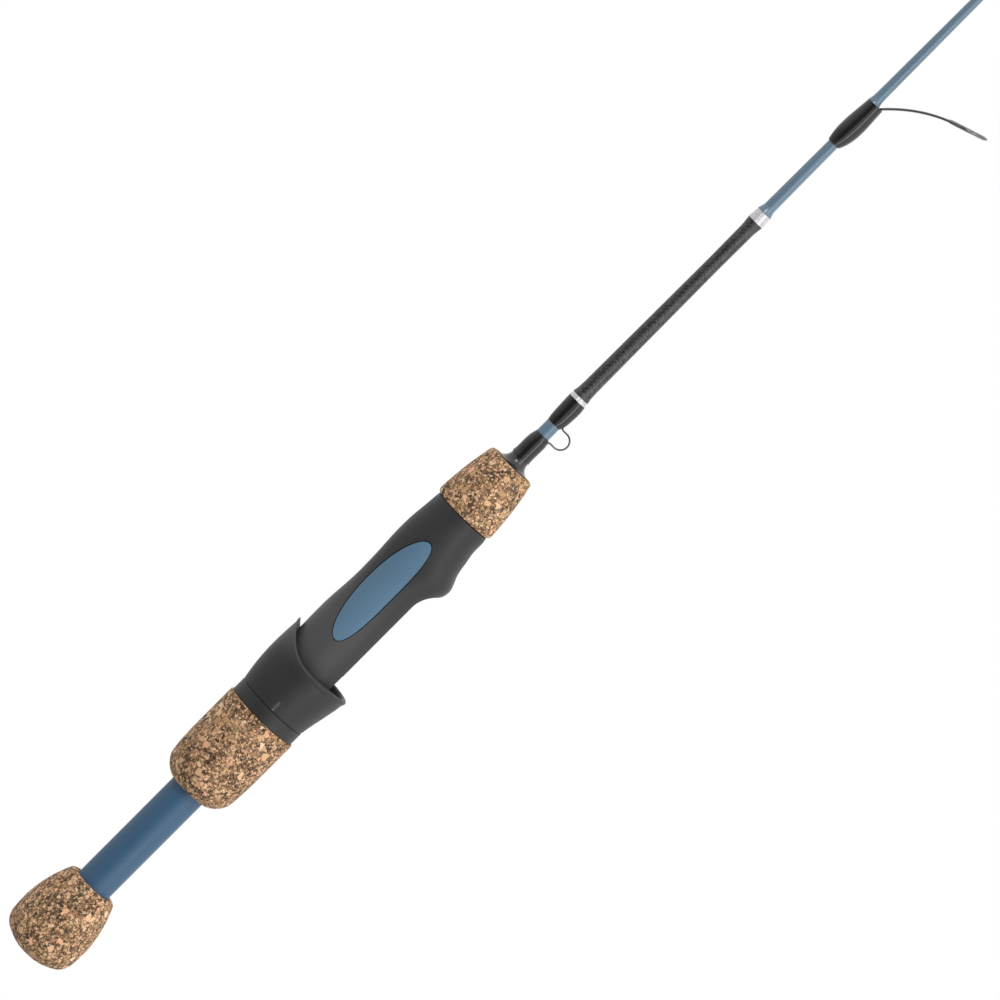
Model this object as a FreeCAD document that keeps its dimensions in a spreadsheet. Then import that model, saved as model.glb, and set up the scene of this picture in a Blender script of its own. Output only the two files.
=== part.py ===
# Ice fishing rod with a split cork handle and a hidden-thread reel seat, in millimetres.
# The rod's axis is X with the tip at +X. Z is up, and the reel and the line guides hang towards -Z.
# The origin is the centre of the butt knob's end face.
import FreeCAD, Part
import math
import os
import re
import Sketcher

Vector = FreeCAD.Vector
X_AXIS = Vector(1, 0, 0)
Y_AXIS = Vector(0, 1, 0)

# Driving dimensions. "place" is a position along the rod; every other size is a length or a radius.
SIZES = {
    # clearances, and how far a cutting tool reaches past every skin
    "glue_gap": 0.03,
    "running_gap": 0.08,
    "cutter_reach": 20.0,
    "cutter_overlap": 1.0,
    "edge_tolerance": 0.01,
    # rod blank: places and radii where its taper changes
    "blank_butt_place": 100.0,
    "blank_butt_radius": 2.94,
    "blank_keeper_place": 230.0,
    "blank_keeper_radius": 2.42,
    "blank_sleeve_place": 328.0,
    "blank_sleeve_radius": 1.985,
    "blank_guide_place": 414.0,
    "blank_guide_radius": 1.475,
    "blank_tip_place": 707.7,
    "blank_tip_radius": 0.6,
    # butt knob
    "knob_length": 29.3,
    "knob_flat": 5.0,
    "knob_dome_arc": 12.0,
    "knob_dome_along": 1.5,
    "knob_dome_radius": 8.6,
    "knob_corner_arc": 6.0,
    "knob_shoulder_along": 7.0,
    "knob_shoulder_radius": 12.72,
    "knob_belly_arc": 39.3,
    "knob_neck_radius": 9.2,
    "knob_edge": 1.2,
    "knob_socket": 8.0,
    # handle tube
    "tube_radius": 6.2,
    "tube_bore": 4.8,
    "tube_length": 121.0,
    # rear grip, bonded to the lock nut's sleeve
    "rear_grip_place": 71.5,
    "rear_grip_length": 32.6,
    "rear_grip_end_radius": 7.2,
    "rear_grip_corner_arc": 8.5,
    "rear_grip_corner_along": 5.5,
    "rear_grip_corner_radius": 12.35,
    "rear_grip_swell_arc": 105.0,
    "rear_grip_full_along": 16.5,
    "rear_grip_radius": 13.0,
    "rear_grip_edge": 0.5,
    # lock nut
    "nut_place": 76.0,
    "nut_sleeve_radius": 10.4,
    "nut_sleeve_length": 28.1,
    "nut_collar_radius": 12.43,
    "nut_collar_end": 32.6,
    "nut_neck_radius": 10.0,
    "nut_neck_end": 34.6,
    "nut_flange_radius": 10.8,
    "nut_length": 36.0,
    "nut_edge": 0.25,
    "nut_bearing_length": 6.0,
    "nut_bore": 7.7,
    # thread: a trapezoidal ridge on the seat's barrel and a matching groove in the nut
    "thread_pitch": 2.5,
    "thread_root_radius": 7.62,
    "thread_crest_radius": 8.5,
    "thread_root_width": 1.4,
    "thread_crest_width": 0.6,
    "thread_play": 0.14,
    "ridge_start": 2.5,
    "ridge_height": 25.0,
    "groove_start": 7.0,
    "groove_height": 32.5,
    # slip washer between nut collar and hood
    "washer_place": 108.62,
    "washer_thickness": 0.26,
    "washer_radius": 12.0,
    # sliding hood
    "hood_place": 108.9,
    "hood_lip_end": 110.5,
    "hood_groove_end": 112.2,
    "hood_bore": 11.6,
    "hood_mouth_place": 125.7,
    "hood_mouth_turn": -1.0,
    "hood_mouth_arc": 15.87,
    "hood_lip_tip_place": 134.9,
    "hood_lip_tip_height": 13.4,
    "hood_pocket_place": 118.0,
    "hood_pocket_mouth_top": 12.2,
    "hood_pocket_mouth_depth": 13.95,
    "hood_pocket_lip_top": 12.75,
    "hood_pocket_lip_depth": 16.0,
    "hood_key_place": 121.0,
    "hood_key_length": 7.0,
    "key_width": 2.0,
    "key_floor": 10.3,
    "key_slot_end": 136.0,
    # reel seat
    "seat_place": 118.0,
    "seat_length": 74.4,
    "barrel_place": 88.0,
    "barrel_length": 32.0,
    "seat_bore": 5.0,
    "tube_socket_end": 130.0,
    "bed_depth": 9.05,
    "bed_step_place": 131.2,
    "bed_step": 0.12,
    "bed_edge": 1.2,
    "bed_end": 161.5,
    "bed_rise_arc": 10.0,
    "bed_rise_along": 9.0,
    "bed_rise_drop": 5.64,
    "front_pocket_end": 172.5,
    "front_pocket_half_width": 4.6,
    "front_pocket_mouth_depth": 11.3,
    "front_pocket_back_depth": 10.9,
    # soft inlays
    "inlay_place": 159.1,
    "inlay_half_length": 20.8,
    "inlay_half_height": 5.05,
    "inlay_height": 2.3,
    "inlay_bow": 1.3,
    "inlay_end_power": 0.85,
    "inlay_side_power": 0.95,
    "inlay_floor": 6.7,
    "inlay_groove": 0.3,
    # arbors
    "tube_arbor_place": 102.0,
    "tube_arbor_length": 26.0,
    "rear_arbor_place": 133.0,
    "rear_arbor_length": 18.0,
    "front_arbor_place": 170.0,
    "front_arbor_length": 20.0,
    # fore grip
    "fore_grip_place": 192.6,
    "fore_grip_length": 21.6,
    "fore_grip_rear_radius": 10.0,
    "fore_grip_rear_arc": 1.6,
    "fore_grip_rear_along": 1.7,
    "fore_grip_radius": 10.95,
    "fore_grip_side_arc": 115.0,
    "fore_grip_front_radius": 8.55,
    "fore_grip_edge": 1.0,
    "fore_grip_recess": 1.0,
    # winding check
    "check_place": 213.3,
    "check_radius": 5.5,
    "check_front_radius": 3.2,
    "check_rim": 1.2,
    "check_arc": 3.4,
    "check_length": 4.6,
    # keeper and its two wraps
    "wrap_a_place": 217.9,
    "wrap_a_length": 9.2,
    "wrap_a_radius": 3.28,
    "wrap_b_place": 232.7,
    "wrap_b_length": 9.9,
    "wrap_b_radius": 3.33,
    "wrap_end_radius": 2.85,
    "wrap_shoulder": 1.3,
    "wrap_shoulder_arc": 2.0,
    "keeper_wire_radius": 0.3,
    "keeper_foot_depth": 2.85,
    "keeper_foot_a_place": 219.0,
    "keeper_leg_a_place": 227.3,
    "keeper_leg_b_place": 233.0,
    "keeper_foot_b_place": 241.0,
    "keeper_bend": 0.7,
    "keeper_loop_depth": 5.15,
    # carbon sleeve with its two trim bands
    "band_a_place": 242.65,
    "band_a_length": 1.6,
    "band_a_rear_radius": 3.2,
    "band_a_front_radius": 2.85,
    "sleeve_place": 244.3,
    "sleeve_length": 76.1,
    "sleeve_rear_radius": 2.75,
    "sleeve_neck_along": 4.5,
    "sleeve_neck_radius": 2.56,
    "sleeve_waist_along": 59.0,
    "sleeve_waist_radius": 2.27,
    "sleeve_flare_along": 73.0,
    "sleeve_flare_radius": 2.4,
    "sleeve_front_radius": 2.75,
    "band_b_place": 320.45,
    "band_b_length": 3.9,
    "band_b_rear_radius": 2.85,
    "band_b_front_radius": 2.5,
    # first line guide; the others are scaled from it
    "guide_foot_length": 15.5,
    "guide_foot_width": 1.9,
    "guide_foot_thickness": 0.8,
    "guide_wrap_top": 1.05,
    "guide_wrap_bottom": 2.3,
    "guide_wrap_front_top": 0.4,
    "guide_wrap_front_bottom": 1.95,
    "guide_ring_along": 14.4,
    "guide_ring_drop": 24.3,
    "guide_ring_radius": 6.42,
    "guide_ring_lean": 18.0,
    "guide_wire": 0.46,
    "guide_leg_spread": 0.5,
    "guide_leg_meet": 60.0,
    "guide_leg_share": 0.9,
    "insert_inner": 5.1,
    "insert_length": 1.3,
    "insert_round": 0.3,
    # tip top
    "tip_tube_place": 697.7,
    "tip_tube_length": 11.5,
    "tip_tube_radius": 1.05,
    "tip_ring_place": 709.94,
    "tip_ring_drop": 3.3,
    "tip_ring_radius": 2.55,
    "tip_ring_lean": 14.0,
    "tip_wire": 0.35,
    "tip_insert_outer": 2.05,
    "tip_insert_inner": 1.7,
    "tip_strut_wire": 0.21,
    "tip_strut_along": 3.5,
    "tip_strut_spread": 0.5,
    "tip_hole_radius": 0.8,
    "tip_insert_length": 1.1,
    "tip_insert_round": 0.2,
    "tip_wrap_place": 688.7,
    "tip_wrap_length": 8.9,
    "tip_wrap_radius": 1.15,
    "tip_wrap_end_radius": 0.95,
    "tip_wrap_shoulder": 1.0,
    "tip_wrap_arc": 1.2,
}

# Line guides: the place where each foot begins, and its scale against the first guide.
GUIDES = {1: (356.4, 1.0), 2: (449.0, 0.74), 3: (532.0, 0.6), 4: (602.0, 0.51), 5: (661.0, 0.46)}
for guide_number, (guide_place, guide_scale) in GUIDES.items():
    SIZES["guide_%d_place" % guide_number] = guide_place
    SIZES["guide_%d_scale" % guide_number] = guide_scale

# Cross-sections of the reel seat: along the seat, radius on top, half width, depth below the axis, and how
# square the lower half is (2 is an ellipse).
SEAT_SECTIONS = (
    (0.0, 11.35, 11.35, 11.35, 2.0),
    (12.0, 11.38, 11.38, 11.38, 2.0),
    (23.0, 11.38, 11.3, 11.3, 2.0),
    (32.0, 10.95, 10.9, 10.9, 2.0),
    (40.0, 10.58, 10.6, 10.6, 2.0),
    (45.5, 10.67, 10.6, 11.0, 2.1),
    (50.0, 10.85, 10.7, 12.6, 2.25),
    (54.0, 11.08, 10.85, 13.9, 2.4),
    (58.0, 11.19, 10.9, 12.85, 2.3),
    (62.0, 11.12, 10.8, 11.6, 2.2),
    (66.0, 10.82, 10.6, 10.95, 2.1),
    (70.0, 10.43, 10.35, 10.5, 2.0),
    (74.4, 10.0, 10.1, 10.15, 2.0),
)
SEAT_COLUMNS = ("along", "top", "side", "depth", "square")
for section_number, section in enumerate(SEAT_SECTIONS):
    for column, section_size in zip(SEAT_COLUMNS, section):
        SIZES["seat_%s_%s" % (column, "abcdefghijklm"[section_number])] = section_size

# Cross-sections of the sliding hood: place, radius on top and depth below the axis. Each one is a circle.
HOOD_SECTIONS = (
    (108.9, 12.4, 12.4),
    (112.7, 13.0, 13.05),
    (116.4, 13.45, 13.8),
    (120.5, 13.7, 14.6),
    (124.8, 13.68, 15.35),
    (129.0, 13.55, 15.75),
    (135.5, 13.2, 16.2),
)
for section_number, section in enumerate(HOOD_SECTIONS):
    for column, section_size in zip(("place", "top", "depth"), section):
        SIZES["hood_%s_%s" % (column, "abcdefg"[section_number])] = section_size

# How a guide's leg bends: the pull along X, Y and Z where it leaves the foot, and at the ring.
LEG_START_PULL = (1.25, 0.6, 0.75)
LEG_END_PULL = 1.1
LEG_END_SPREAD = 0.4

# Sections of the wrap over a guide's foot: share of the foot's length, then what the wrap adds to the blank's
# radius on top and below.
WRAP_SECTIONS = (
    (-0.13, "0.35", "0.35"),
    (0.1, "guide_wrap_top", "0.75 * guide_wrap_bottom"),
    (0.5, "guide_wrap_top", "guide_wrap_bottom"),
    (1.0, "guide_wrap_front_top", "guide_wrap_front_bottom"),
)

# How many points shape one closed section of the seat, and the outline of an inlay.
SECTION_POINTS = 28
INLAY_POINTS = 24

document = FreeCAD.newDocument("ice_fishing_rod")
sheet = document.addObject("Spreadsheet::Sheet", "sizes")
pieces = []


def fill_sheet():
    """Write every driving dimension into the sheet under its own alias."""
    for row, (alias, number) in enumerate(SIZES.items(), start=1):
        sheet.set("A%d" % row, alias)
        sheet.set("B%d" % row, str(number))
        sheet.setAlias("B%d" % row, alias)
    document.recompute()


def bound(text):
    """The expression with each alias written as the sheet's own cell."""
    return re.sub(r"[a-z]\w*", lambda word: "sizes." + word.group() if word.group() in SIZES else word.group(), text)


def size(text):
    """The number that an expression over the sheet's aliases gives."""
    return float(sheet.evalExpression(bound(text)))


def keep(piece, label):
    """Give a finished sub-part its label and list it for export."""
    piece.Label = label
    pieces.append(piece)
    return piece


def blank_radius(place):
    """Expression for the blank's radius at a place, which is itself an expression."""
    stations = ("butt", "keeper", "sleeve", "guide", "tip")
    for rear, front in zip(stations, stations[1:]):
        if size(place) <= size("blank_%s_place" % front):
            break
    start = "blank_%s_place" % rear
    end = "blank_%s_place" % front
    drop = "(blank_%s_radius - blank_%s_radius)" % (front, rear)
    return "(blank_%s_radius + %s * (%s - %s) / (%s - %s))" % (rear, drop, place, start, end, start)


def blank_bore(place):
    """Expression for a hole that is glued on the blank at a place."""
    return blank_radius(place) + " + glue_gap"


# ---------------------------------------------------------------- sketches


def edge_curve(start, end, arc_text):
    """A straight or round edge, and which of its two ends is the start and which the end.

    A "+" arc bulges to the left of the direction of travel and a "-" arc to the right.
    """
    if arc_text is None:
        return Part.LineSegment(start, end), (1, 2)
    radius = size(arc_text[1:])
    chord = end - start
    left = Vector(-chord.y, chord.x, 0).normalize()
    offset = math.sqrt(radius ** 2 - (chord.Length / 2) ** 2)
    side = 1 if arc_text[0] == "+" else -1
    middle = start + chord * 0.5
    centre = middle - left * (offset * side)
    first, last = (end, start) if side > 0 else (start, end)
    angles = [math.atan2(point.y - centre.y, point.x - centre.x) for point in (first, last)]
    circle = Part.Circle(centre, Vector(0, 0, 1), radius)
    return Part.ArcOfCircle(circle, *angles), (2, 1) if side > 0 else (1, 2)


def draw_outline(sketch, corners):
    """Draw a closed outline. Each corner is (along, across) or (along, across, arc to the next corner)."""
    points = [Vector(size(corner[0]), size(corner[1]), 0) for corner in corners]
    arcs = [corner[2] if len(corner) > 2 else None for corner in corners]
    ends = []
    for start, end, arc in zip(points, points[1:] + points[:1], arcs):
        curve, order = edge_curve(start, end, arc)
        sketch.addGeometry(curve)
        ends.append(order)
    for index, corner in enumerate(corners):
        following = (index + 1) % len(corners)
        sketch.addConstraint(Sketcher.Constraint("Coincident", index, ends[index][1], following, ends[following][0]))
        for direction, text in zip("XY", corner):
            row = Sketcher.Constraint("Distance" + direction, -1, 1, index, ends[index][0], size(text))
            sketch.setExpression("Constraints[%d]" % sketch.addConstraint(row), bound(text))
        if arcs[index]:
            row = Sketcher.Constraint("Radius", index, size(arcs[index][1:]))
            sketch.setExpression("Constraints[%d]" % sketch.addConstraint(row), bound(arcs[index][1:]))


def body_sketch(body, name, corners):
    """A sketch on a body's own XZ plane: along is X and across is the distance above the axis."""
    sketch = body.newObject("Sketcher::SketchObject", name)
    plane = [item for item in body.Origin.OriginFeatures if item.Role == "XZ_Plane"][0]
    sketch.AttachmentSupport = [(plane, "")]
    sketch.MapMode = "FlatFace"
    draw_outline(sketch, corners)
    return sketch


def turned_body(name, place, corners):
    """A body turned about the rod's axis, with its outline measured from its own place on the rod."""
    body = document.addObject("PartDesign::Body", name)
    sketch = body_sketch(body, name + "_outline", corners)
    turn = body.newObject("PartDesign::Revolution", name + "_turn")
    turn.Profile = sketch
    turn.ReferenceAxis = (sketch, ["H_Axis"])
    turn.Angle = 360
    body.setExpression("Placement.Base.x", bound(place))
    document.recompute()
    return body


def turned(name, place, corners):
    """A finished turned sub-part."""
    return keep(turned_body(name, place, corners), name)


def plate(name, corners, half_width):
    """A prism across the rod: its outline is in the XZ plane and it reaches half_width to each side."""
    sketch = document.addObject("Sketcher::SketchObject", name + "_outline")
    sketch.Placement = FreeCAD.Placement(Vector(), FreeCAD.Rotation(X_AXIS, 90))
    draw_outline(sketch, corners)
    prism = document.addObject("Part::Extrusion", name)
    prism.Base = sketch
    prism.DirMode = "Custom"
    prism.Dir = Y_AXIS
    prism.Solid = True
    prism.Symmetric = True
    prism.setExpression("LengthFwd", bound("2 * (" + half_width + ")"))
    return prism


def rod_cylinder(name, start, end, radius):
    """A plain cylinder along the rod's axis between two places."""
    cylinder = document.addObject("Part::Cylinder", name)
    cylinder.Placement = FreeCAD.Placement(Vector(), FreeCAD.Rotation(Y_AXIS, 90))
    cylinder.setExpression("Placement.Base.x", bound(start))
    cylinder.setExpression("Radius", bound(radius))
    cylinder.setExpression("Height", bound("%s - (%s)" % (end, start)))
    return cylinder


def round_loft(name, sections):
    """A loft through circles across the rod; each section is (place, radius on top, depth below the axis)."""
    circles = []
    for index, (place, top, depth) in enumerate(sections):
        circle = document.addObject("Part::Circle", "%s_section_%d" % (name, index + 1))
        circle.Placement = FreeCAD.Placement(Vector(), FreeCAD.Rotation(Y_AXIS, 90))
        circle.setExpression("Placement.Base.x", bound(place))
        circle.setExpression("Placement.Base.z", bound("(%s - (%s)) / 2" % (top, depth)))
        circle.setExpression("Radius", bound("(%s + %s) / 2" % (top, depth)))
        circles.append(circle)
    loft = document.addObject("Part::Loft", name)
    loft.Sections = circles
    loft.Solid = True
    return loft


def cut(name, base, *tools):
    """The base with every tool taken away."""
    for index, tool in enumerate(tools):
        result = document.addObject("Part::Cut", "%s_cut_%d" % (name, index + 1))
        result.Base = base
        result.Tool = tool
        base = result
    return base


def fused(name, *shapes):
    """Several shapes joined into one solid."""
    result = document.addObject("Part::MultiFuse", name)
    result.Shapes = list(shapes)
    result.Refine = True
    return result


def coded(name, shape):
    """A document object for a shape that no sketch or primitive describes."""
    feature = document.addObject("Part::Feature", name)
    feature.Shape = shape
    return feature


# ---------------------------------------------------------------- rod blank and handle


def make_blank():
    """The tapered rod blank, from inside the handle tube to the tip."""
    stations = ("butt", "keeper", "sleeve", "guide", "tip")
    outline = [("0", "0")]
    for station in stations:
        along = "blank_%s_place - blank_butt_place" % station
        outline.append((along, "blank_%s_radius" % station))
    outline.append(("blank_tip_place - blank_butt_place", "0"))
    return turned("rod_blank", "blank_butt_place", outline)


def make_knob():
    """The butt knob: a domed end, a round belly and a socket for the handle tube."""
    turned("butt_knob", "0", [
        ("0", "0"),
        ("0", "knob_flat", "+knob_dome_arc"),
        ("knob_dome_along", "knob_dome_radius", "+knob_corner_arc"),
        ("knob_shoulder_along", "knob_shoulder_radius", "+knob_belly_arc"),
        ("knob_length - knob_edge", "knob_neck_radius", "+knob_edge"),
        ("knob_length", "knob_neck_radius - knob_edge"),
        ("knob_length", "tube_radius + glue_gap"),
        ("knob_socket", "tube_radius + glue_gap"),
        ("knob_socket", "0"),
    ])


def make_tube():
    """The handle tube between the butt knob and the reel seat."""
    outer = rod_cylinder("tube_outside", "knob_socket + glue_gap", "knob_socket + tube_length", "tube_radius")
    inner = rod_cylinder("tube_inside", "0", "knob_socket + tube_length + cutter_overlap", "tube_bore")
    keep(cut("handle_tube", outer, inner), "handle_tube")


def make_arbor(name, place, length, radius):
    """A bush that centres the blank in a larger bore."""
    end = "%s + %s" % (place, length)
    turned(name, place, [
        ("0", blank_bore(place)),
        ("0", radius),
        (length, radius),
        (length, blank_bore("(" + end + ")")),
    ])


def make_rear_grip():
    """The rear grip: a cork sleeve bonded on the lock nut, running over the handle tube."""
    turned("rear_grip", "rear_grip_place", [
        ("0", "tube_radius + running_gap"),
        ("0", "rear_grip_end_radius", "+rear_grip_corner_arc"),
        ("rear_grip_corner_along", "rear_grip_corner_radius", "+rear_grip_swell_arc"),
        ("rear_grip_full_along", "rear_grip_radius"),
        ("rear_grip_length - rear_grip_edge", "rear_grip_radius", "+rear_grip_edge"),
        ("rear_grip_length - glue_gap", "rear_grip_radius - rear_grip_edge"),
        ("rear_grip_length - glue_gap", "nut_sleeve_radius + glue_gap"),
        ("nut_place - rear_grip_place - glue_gap", "nut_sleeve_radius + glue_gap"),
        ("nut_place - rear_grip_place - glue_gap", "tube_radius + running_gap"),
    ])


def add_thread(body, kind, start, height, inner, outer, root_width, crest_width):
    """Sweep a trapezoid along a helix about the body's own axis, as a ridge or as a groove."""
    sketch = body_sketch(body, kind + "_outline", [
        ("%s - (%s) / 2" % (start, root_width), inner),
        ("%s - (%s) / 2" % (start, crest_width), outer),
        ("%s + (%s) / 2" % (start, crest_width), outer),
        ("%s + (%s) / 2" % (start, root_width), inner),
    ])
    sweep = "PartDesign::AdditiveHelix" if kind == "ridge" else "PartDesign::SubtractiveHelix"
    helix = body.newObject(sweep, "thread_" + kind)
    helix.Profile = sketch
    helix.ReferenceAxis = (sketch, ["H_Axis"])
    helix.Mode = "pitch-height-angle"
    helix.setExpression("Pitch", bound("thread_pitch"))
    helix.setExpression("Height", bound(height))
    document.recompute()


def make_lock_nut():
    """The lock nut: a sleeve under the rear grip, a collar, and a flange that is captive in the hood."""
    nut = turned_body("lock_nut", "nut_place", [
        ("0", "tube_radius + running_gap"),
        ("0", "nut_sleeve_radius"),
        ("nut_sleeve_length", "nut_sleeve_radius"),
        ("nut_sleeve_length", "nut_collar_radius - nut_edge", "+nut_edge"),
        ("nut_sleeve_length + nut_edge", "nut_collar_radius"),
        ("nut_collar_end - nut_edge", "nut_collar_radius", "+nut_edge"),
        ("nut_collar_end", "nut_collar_radius - nut_edge"),
        ("nut_collar_end", "nut_neck_radius"),
        ("nut_neck_end", "nut_neck_radius"),
        ("nut_neck_end", "nut_flange_radius"),
        ("nut_length", "nut_flange_radius"),
        ("nut_length", "nut_bore"),
        ("nut_bearing_length", "nut_bore"),
        ("nut_bearing_length", "tube_radius + running_gap"),
    ])
    # the groove's flanks continue inwards to the barrel's root radius, so that both threads share one slope
    add_thread(nut, "groove", "groove_start", "groove_height", "thread_root_radius",
               "thread_crest_radius + running_gap", "thread_root_width + thread_play",
               "thread_crest_width + thread_play")
    keep(nut, "lock_nut")


def make_washer():
    """The thin slip washer that shows as a dark line between the collar and the hood."""
    turned("slip_washer", "washer_place", [
        ("0", "nut_neck_radius + running_gap"),
        ("0", "washer_radius"),
        ("washer_thickness", "washer_radius"),
        ("washer_thickness", "nut_neck_radius + running_gap"),
    ])


# ---------------------------------------------------------------- sliding hood


def make_hood():
    """The sliding hood: an eccentric shell with a swept mouth, a foot pocket and a key."""
    letters = "abcdefg"[:len(HOOD_SECTIONS)]
    outside = round_loft("hood_outside", [
        ("hood_place_" + letter, "hood_top_" + letter, "hood_depth_" + letter) for letter in letters
    ])
    lip_start, lip_end = "hood_place - cutter_overlap", "hood_lip_end + cutter_overlap"
    groove_end = "hood_groove_end + cutter_overlap"
    lip = rod_cylinder("hood_lip_bore", lip_start, lip_end, "nut_neck_radius + running_gap")
    groove = rod_cylinder("hood_groove", "hood_lip_end", groove_end, "nut_flange_radius + running_gap")
    bore = rod_cylinder("hood_cavity", "hood_groove_end", "hood_lip_tip_place + 5", "hood_bore")
    mouth = plate("hood_mouth", [
        ("hood_mouth_place", "0 - cutter_reach"),
        ("hood_mouth_place", "hood_mouth_turn", "+hood_mouth_arc"),
        ("hood_lip_tip_place", "hood_lip_tip_height"),
        ("hood_lip_tip_place", "cutter_reach"),
        ("hood_lip_tip_place + cutter_reach", "cutter_reach"),
        ("hood_lip_tip_place + cutter_reach", "0 - cutter_reach"),
    ], "cutter_reach")
    pocket = round_loft("hood_pocket", [
        ("hood_pocket_place", "hood_bore", "hood_bore"),
        ("hood_mouth_place", "hood_pocket_mouth_top", "hood_pocket_mouth_depth"),
        ("hood_lip_tip_place + cutter_overlap", "hood_pocket_lip_top", "hood_pocket_lip_depth"),
    ])
    shell = cut("hood_shell", outside, lip, groove, bore, mouth, pocket)
    key = plate("hood_key", [
        ("hood_key_place", "key_floor + running_gap"),
        ("hood_key_place", "hood_bore + cutter_overlap"),
        ("hood_key_place + hood_key_length", "hood_bore + cutter_overlap"),
        ("hood_key_place + hood_key_length", "key_floor + running_gap"),
    ], "key_width / 2 - running_gap")
    keep(fused("sliding_hood", shell, key), "sliding_hood")


# ---------------------------------------------------------------- reel seat


def signed_power(number, power):
    """The number's magnitude raised to a power, with its sign kept."""
    return math.copysign(abs(number) ** power, number)


def closed_curve(points):
    """A smooth closed wire through evenly numbered points, so that neighbouring sections line up in a loft."""
    curve = Part.BSplineCurve()
    steps = [float(step) for step in range(len(points) + 1)]
    curve.interpolate(Points=points, PeriodicFlag=True, Parameters=steps)
    return Part.Wire(curve.toShape())


def seat_section(letter):
    """One closed section of the seat: a half ellipse above the axis and a squarer half below it."""
    along, top, side, depth, square = [size("seat_%s_%s" % (column, letter)) for column in SEAT_COLUMNS]
    points = []
    for index in range(SECTION_POINTS):
        angle = 2 * math.pi * index / SECTION_POINTS
        across, upward = math.cos(angle), math.sin(angle)
        power = 1.0 if upward >= 0 else 2 / square
        width = signed_power(across, power) * side
        height = signed_power(upward, power) * (top if upward >= 0 else depth)
        points.append(Vector(size("seat_place") + along, width, height))
    return closed_curve(points)


def seat_outside():
    """The seat's outer skin, lofted through its sections."""
    letters = "abcdefghijklm"[:len(SEAT_SECTIONS)]
    return Part.makeLoft([seat_section(letter) for letter in letters], True, False, False, 3)


def oval_prism(side, growth):
    """A prism with the inlay's outline, from the pocket's floor outwards; side is -1 or 1 across the rod."""
    points = []
    for index in range(INLAY_POINTS):
        angle = 2 * math.pi * index / INLAY_POINTS
        along = signed_power(math.cos(angle), size("inlay_end_power"))
        rise = signed_power(math.sin(angle), size("inlay_side_power"))
        middle = size("inlay_height") - size("inlay_bow") * along ** 2
        points.append(Vector(
            size("inlay_place") + along * (size("inlay_half_length") + growth),
            side * (size("inlay_floor") - growth / 4),
            middle + rise * (size("inlay_half_height") + growth),
        ))
    return Part.Face(closed_curve(points)).extrude(Y_AXIS * side * size("cutter_reach"))


def bed_edges(shape):
    """The numbers of the curved edges where the reel bed, and its rise to the finger hook, meet the outer skin."""
    lowest = size("edge_tolerance - bed_depth")
    rearmost = size("bed_step_place - cutter_overlap")
    foremost = size("bed_end + bed_rise_along")
    numbers = []
    for number, edge in enumerate(shape.Edges, start=1):
        box = edge.BoundBox
        curved = edge.Curve.TypeId == "Part::GeomBSplineCurve"
        if curved and box.ZMax < lowest and box.XMin > rearmost and box.XMax < foremost:
            numbers.append(number)
    return numbers


def make_seat():
    """The reel seat: handle body with a threaded barrel, a flat bed, a front foot pocket and a key slot."""
    skin = coded("seat_skin", seat_outside())
    barrel = turned_body("seat_barrel", "barrel_place", [
        ("0", "tube_radius + glue_gap"),
        ("0", "thread_root_radius"),
        ("barrel_length", "thread_root_radius"),
        ("barrel_length", "tube_radius + glue_gap"),
    ])
    add_thread(barrel, "ridge", "ridge_start", "ridge_height", "thread_root_radius - glue_gap",
               "thread_crest_radius", "thread_root_width", "thread_crest_width")
    socket = rod_cylinder("tube_socket", "barrel_place - cutter_overlap", "tube_socket_end", "tube_radius + glue_gap")
    seat_end = "seat_place + seat_length + cutter_overlap"
    bore = rod_cylinder("seat_core", "tube_socket_end - cutter_overlap", seat_end, "seat_bore")
    bed = plate("seat_bed", [
        ("seat_place - cutter_overlap", "0 - cutter_reach"),
        ("seat_place - cutter_overlap", "bed_step - bed_depth"),
        ("bed_step_place", "bed_step - bed_depth"),
        ("bed_step_place", "0 - bed_depth"),
        ("bed_end", "0 - bed_depth", "+bed_rise_arc"),
        ("bed_end + bed_rise_along", "0 - bed_depth - bed_rise_drop"),
        ("bed_end + bed_rise_along", "0 - cutter_reach"),
    ], "cutter_reach")
    pocket = plate("front_pocket", [
        ("bed_end - cutter_overlap", "0 - front_pocket_mouth_depth"),
        ("bed_end - cutter_overlap", "0 - bed_depth"),
        ("front_pocket_end", "0 - bed_depth"),
        ("front_pocket_end", "0 - front_pocket_back_depth"),
    ], "front_pocket_half_width")
    slot = plate("key_slot", [
        ("seat_place - cutter_overlap", "key_floor"),
        ("seat_place - cutter_overlap", "cutter_reach"),
        ("key_slot_end", "cutter_reach"),
        ("key_slot_end", "key_floor"),
    ], "key_width / 2")
    groove = size("inlay_groove")
    recesses = [coded("inlay_recess_" + name, oval_prism(side, groove)) for name, side in (("right", -1), ("left", 1))]
    whole = fused("seat_whole", skin, barrel)
    flat = cut("seat_flat", whole, bed)
    document.recompute()
    rounded = document.addObject("Part::Fillet", "seat_rounded")
    rounded.Base = flat
    rounded.Edges = [(number, size("bed_edge"), size("bed_edge")) for number in bed_edges(flat.Shape)]
    keep(cut("reel_seat", rounded, socket, bore, pocket, slot, *recesses), "reel_seat")
    for name, side in (("right", -1), ("left", 1)):
        inlay = document.addObject("Part::Common", "inlay_" + name)
        inlay.Base = coded("inlay_blank_" + name, oval_prism(side, 0.0))
        inlay.Tool = coded("inlay_skin_" + name, seat_outside())
        keep(inlay, "inlay_" + name)


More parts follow.
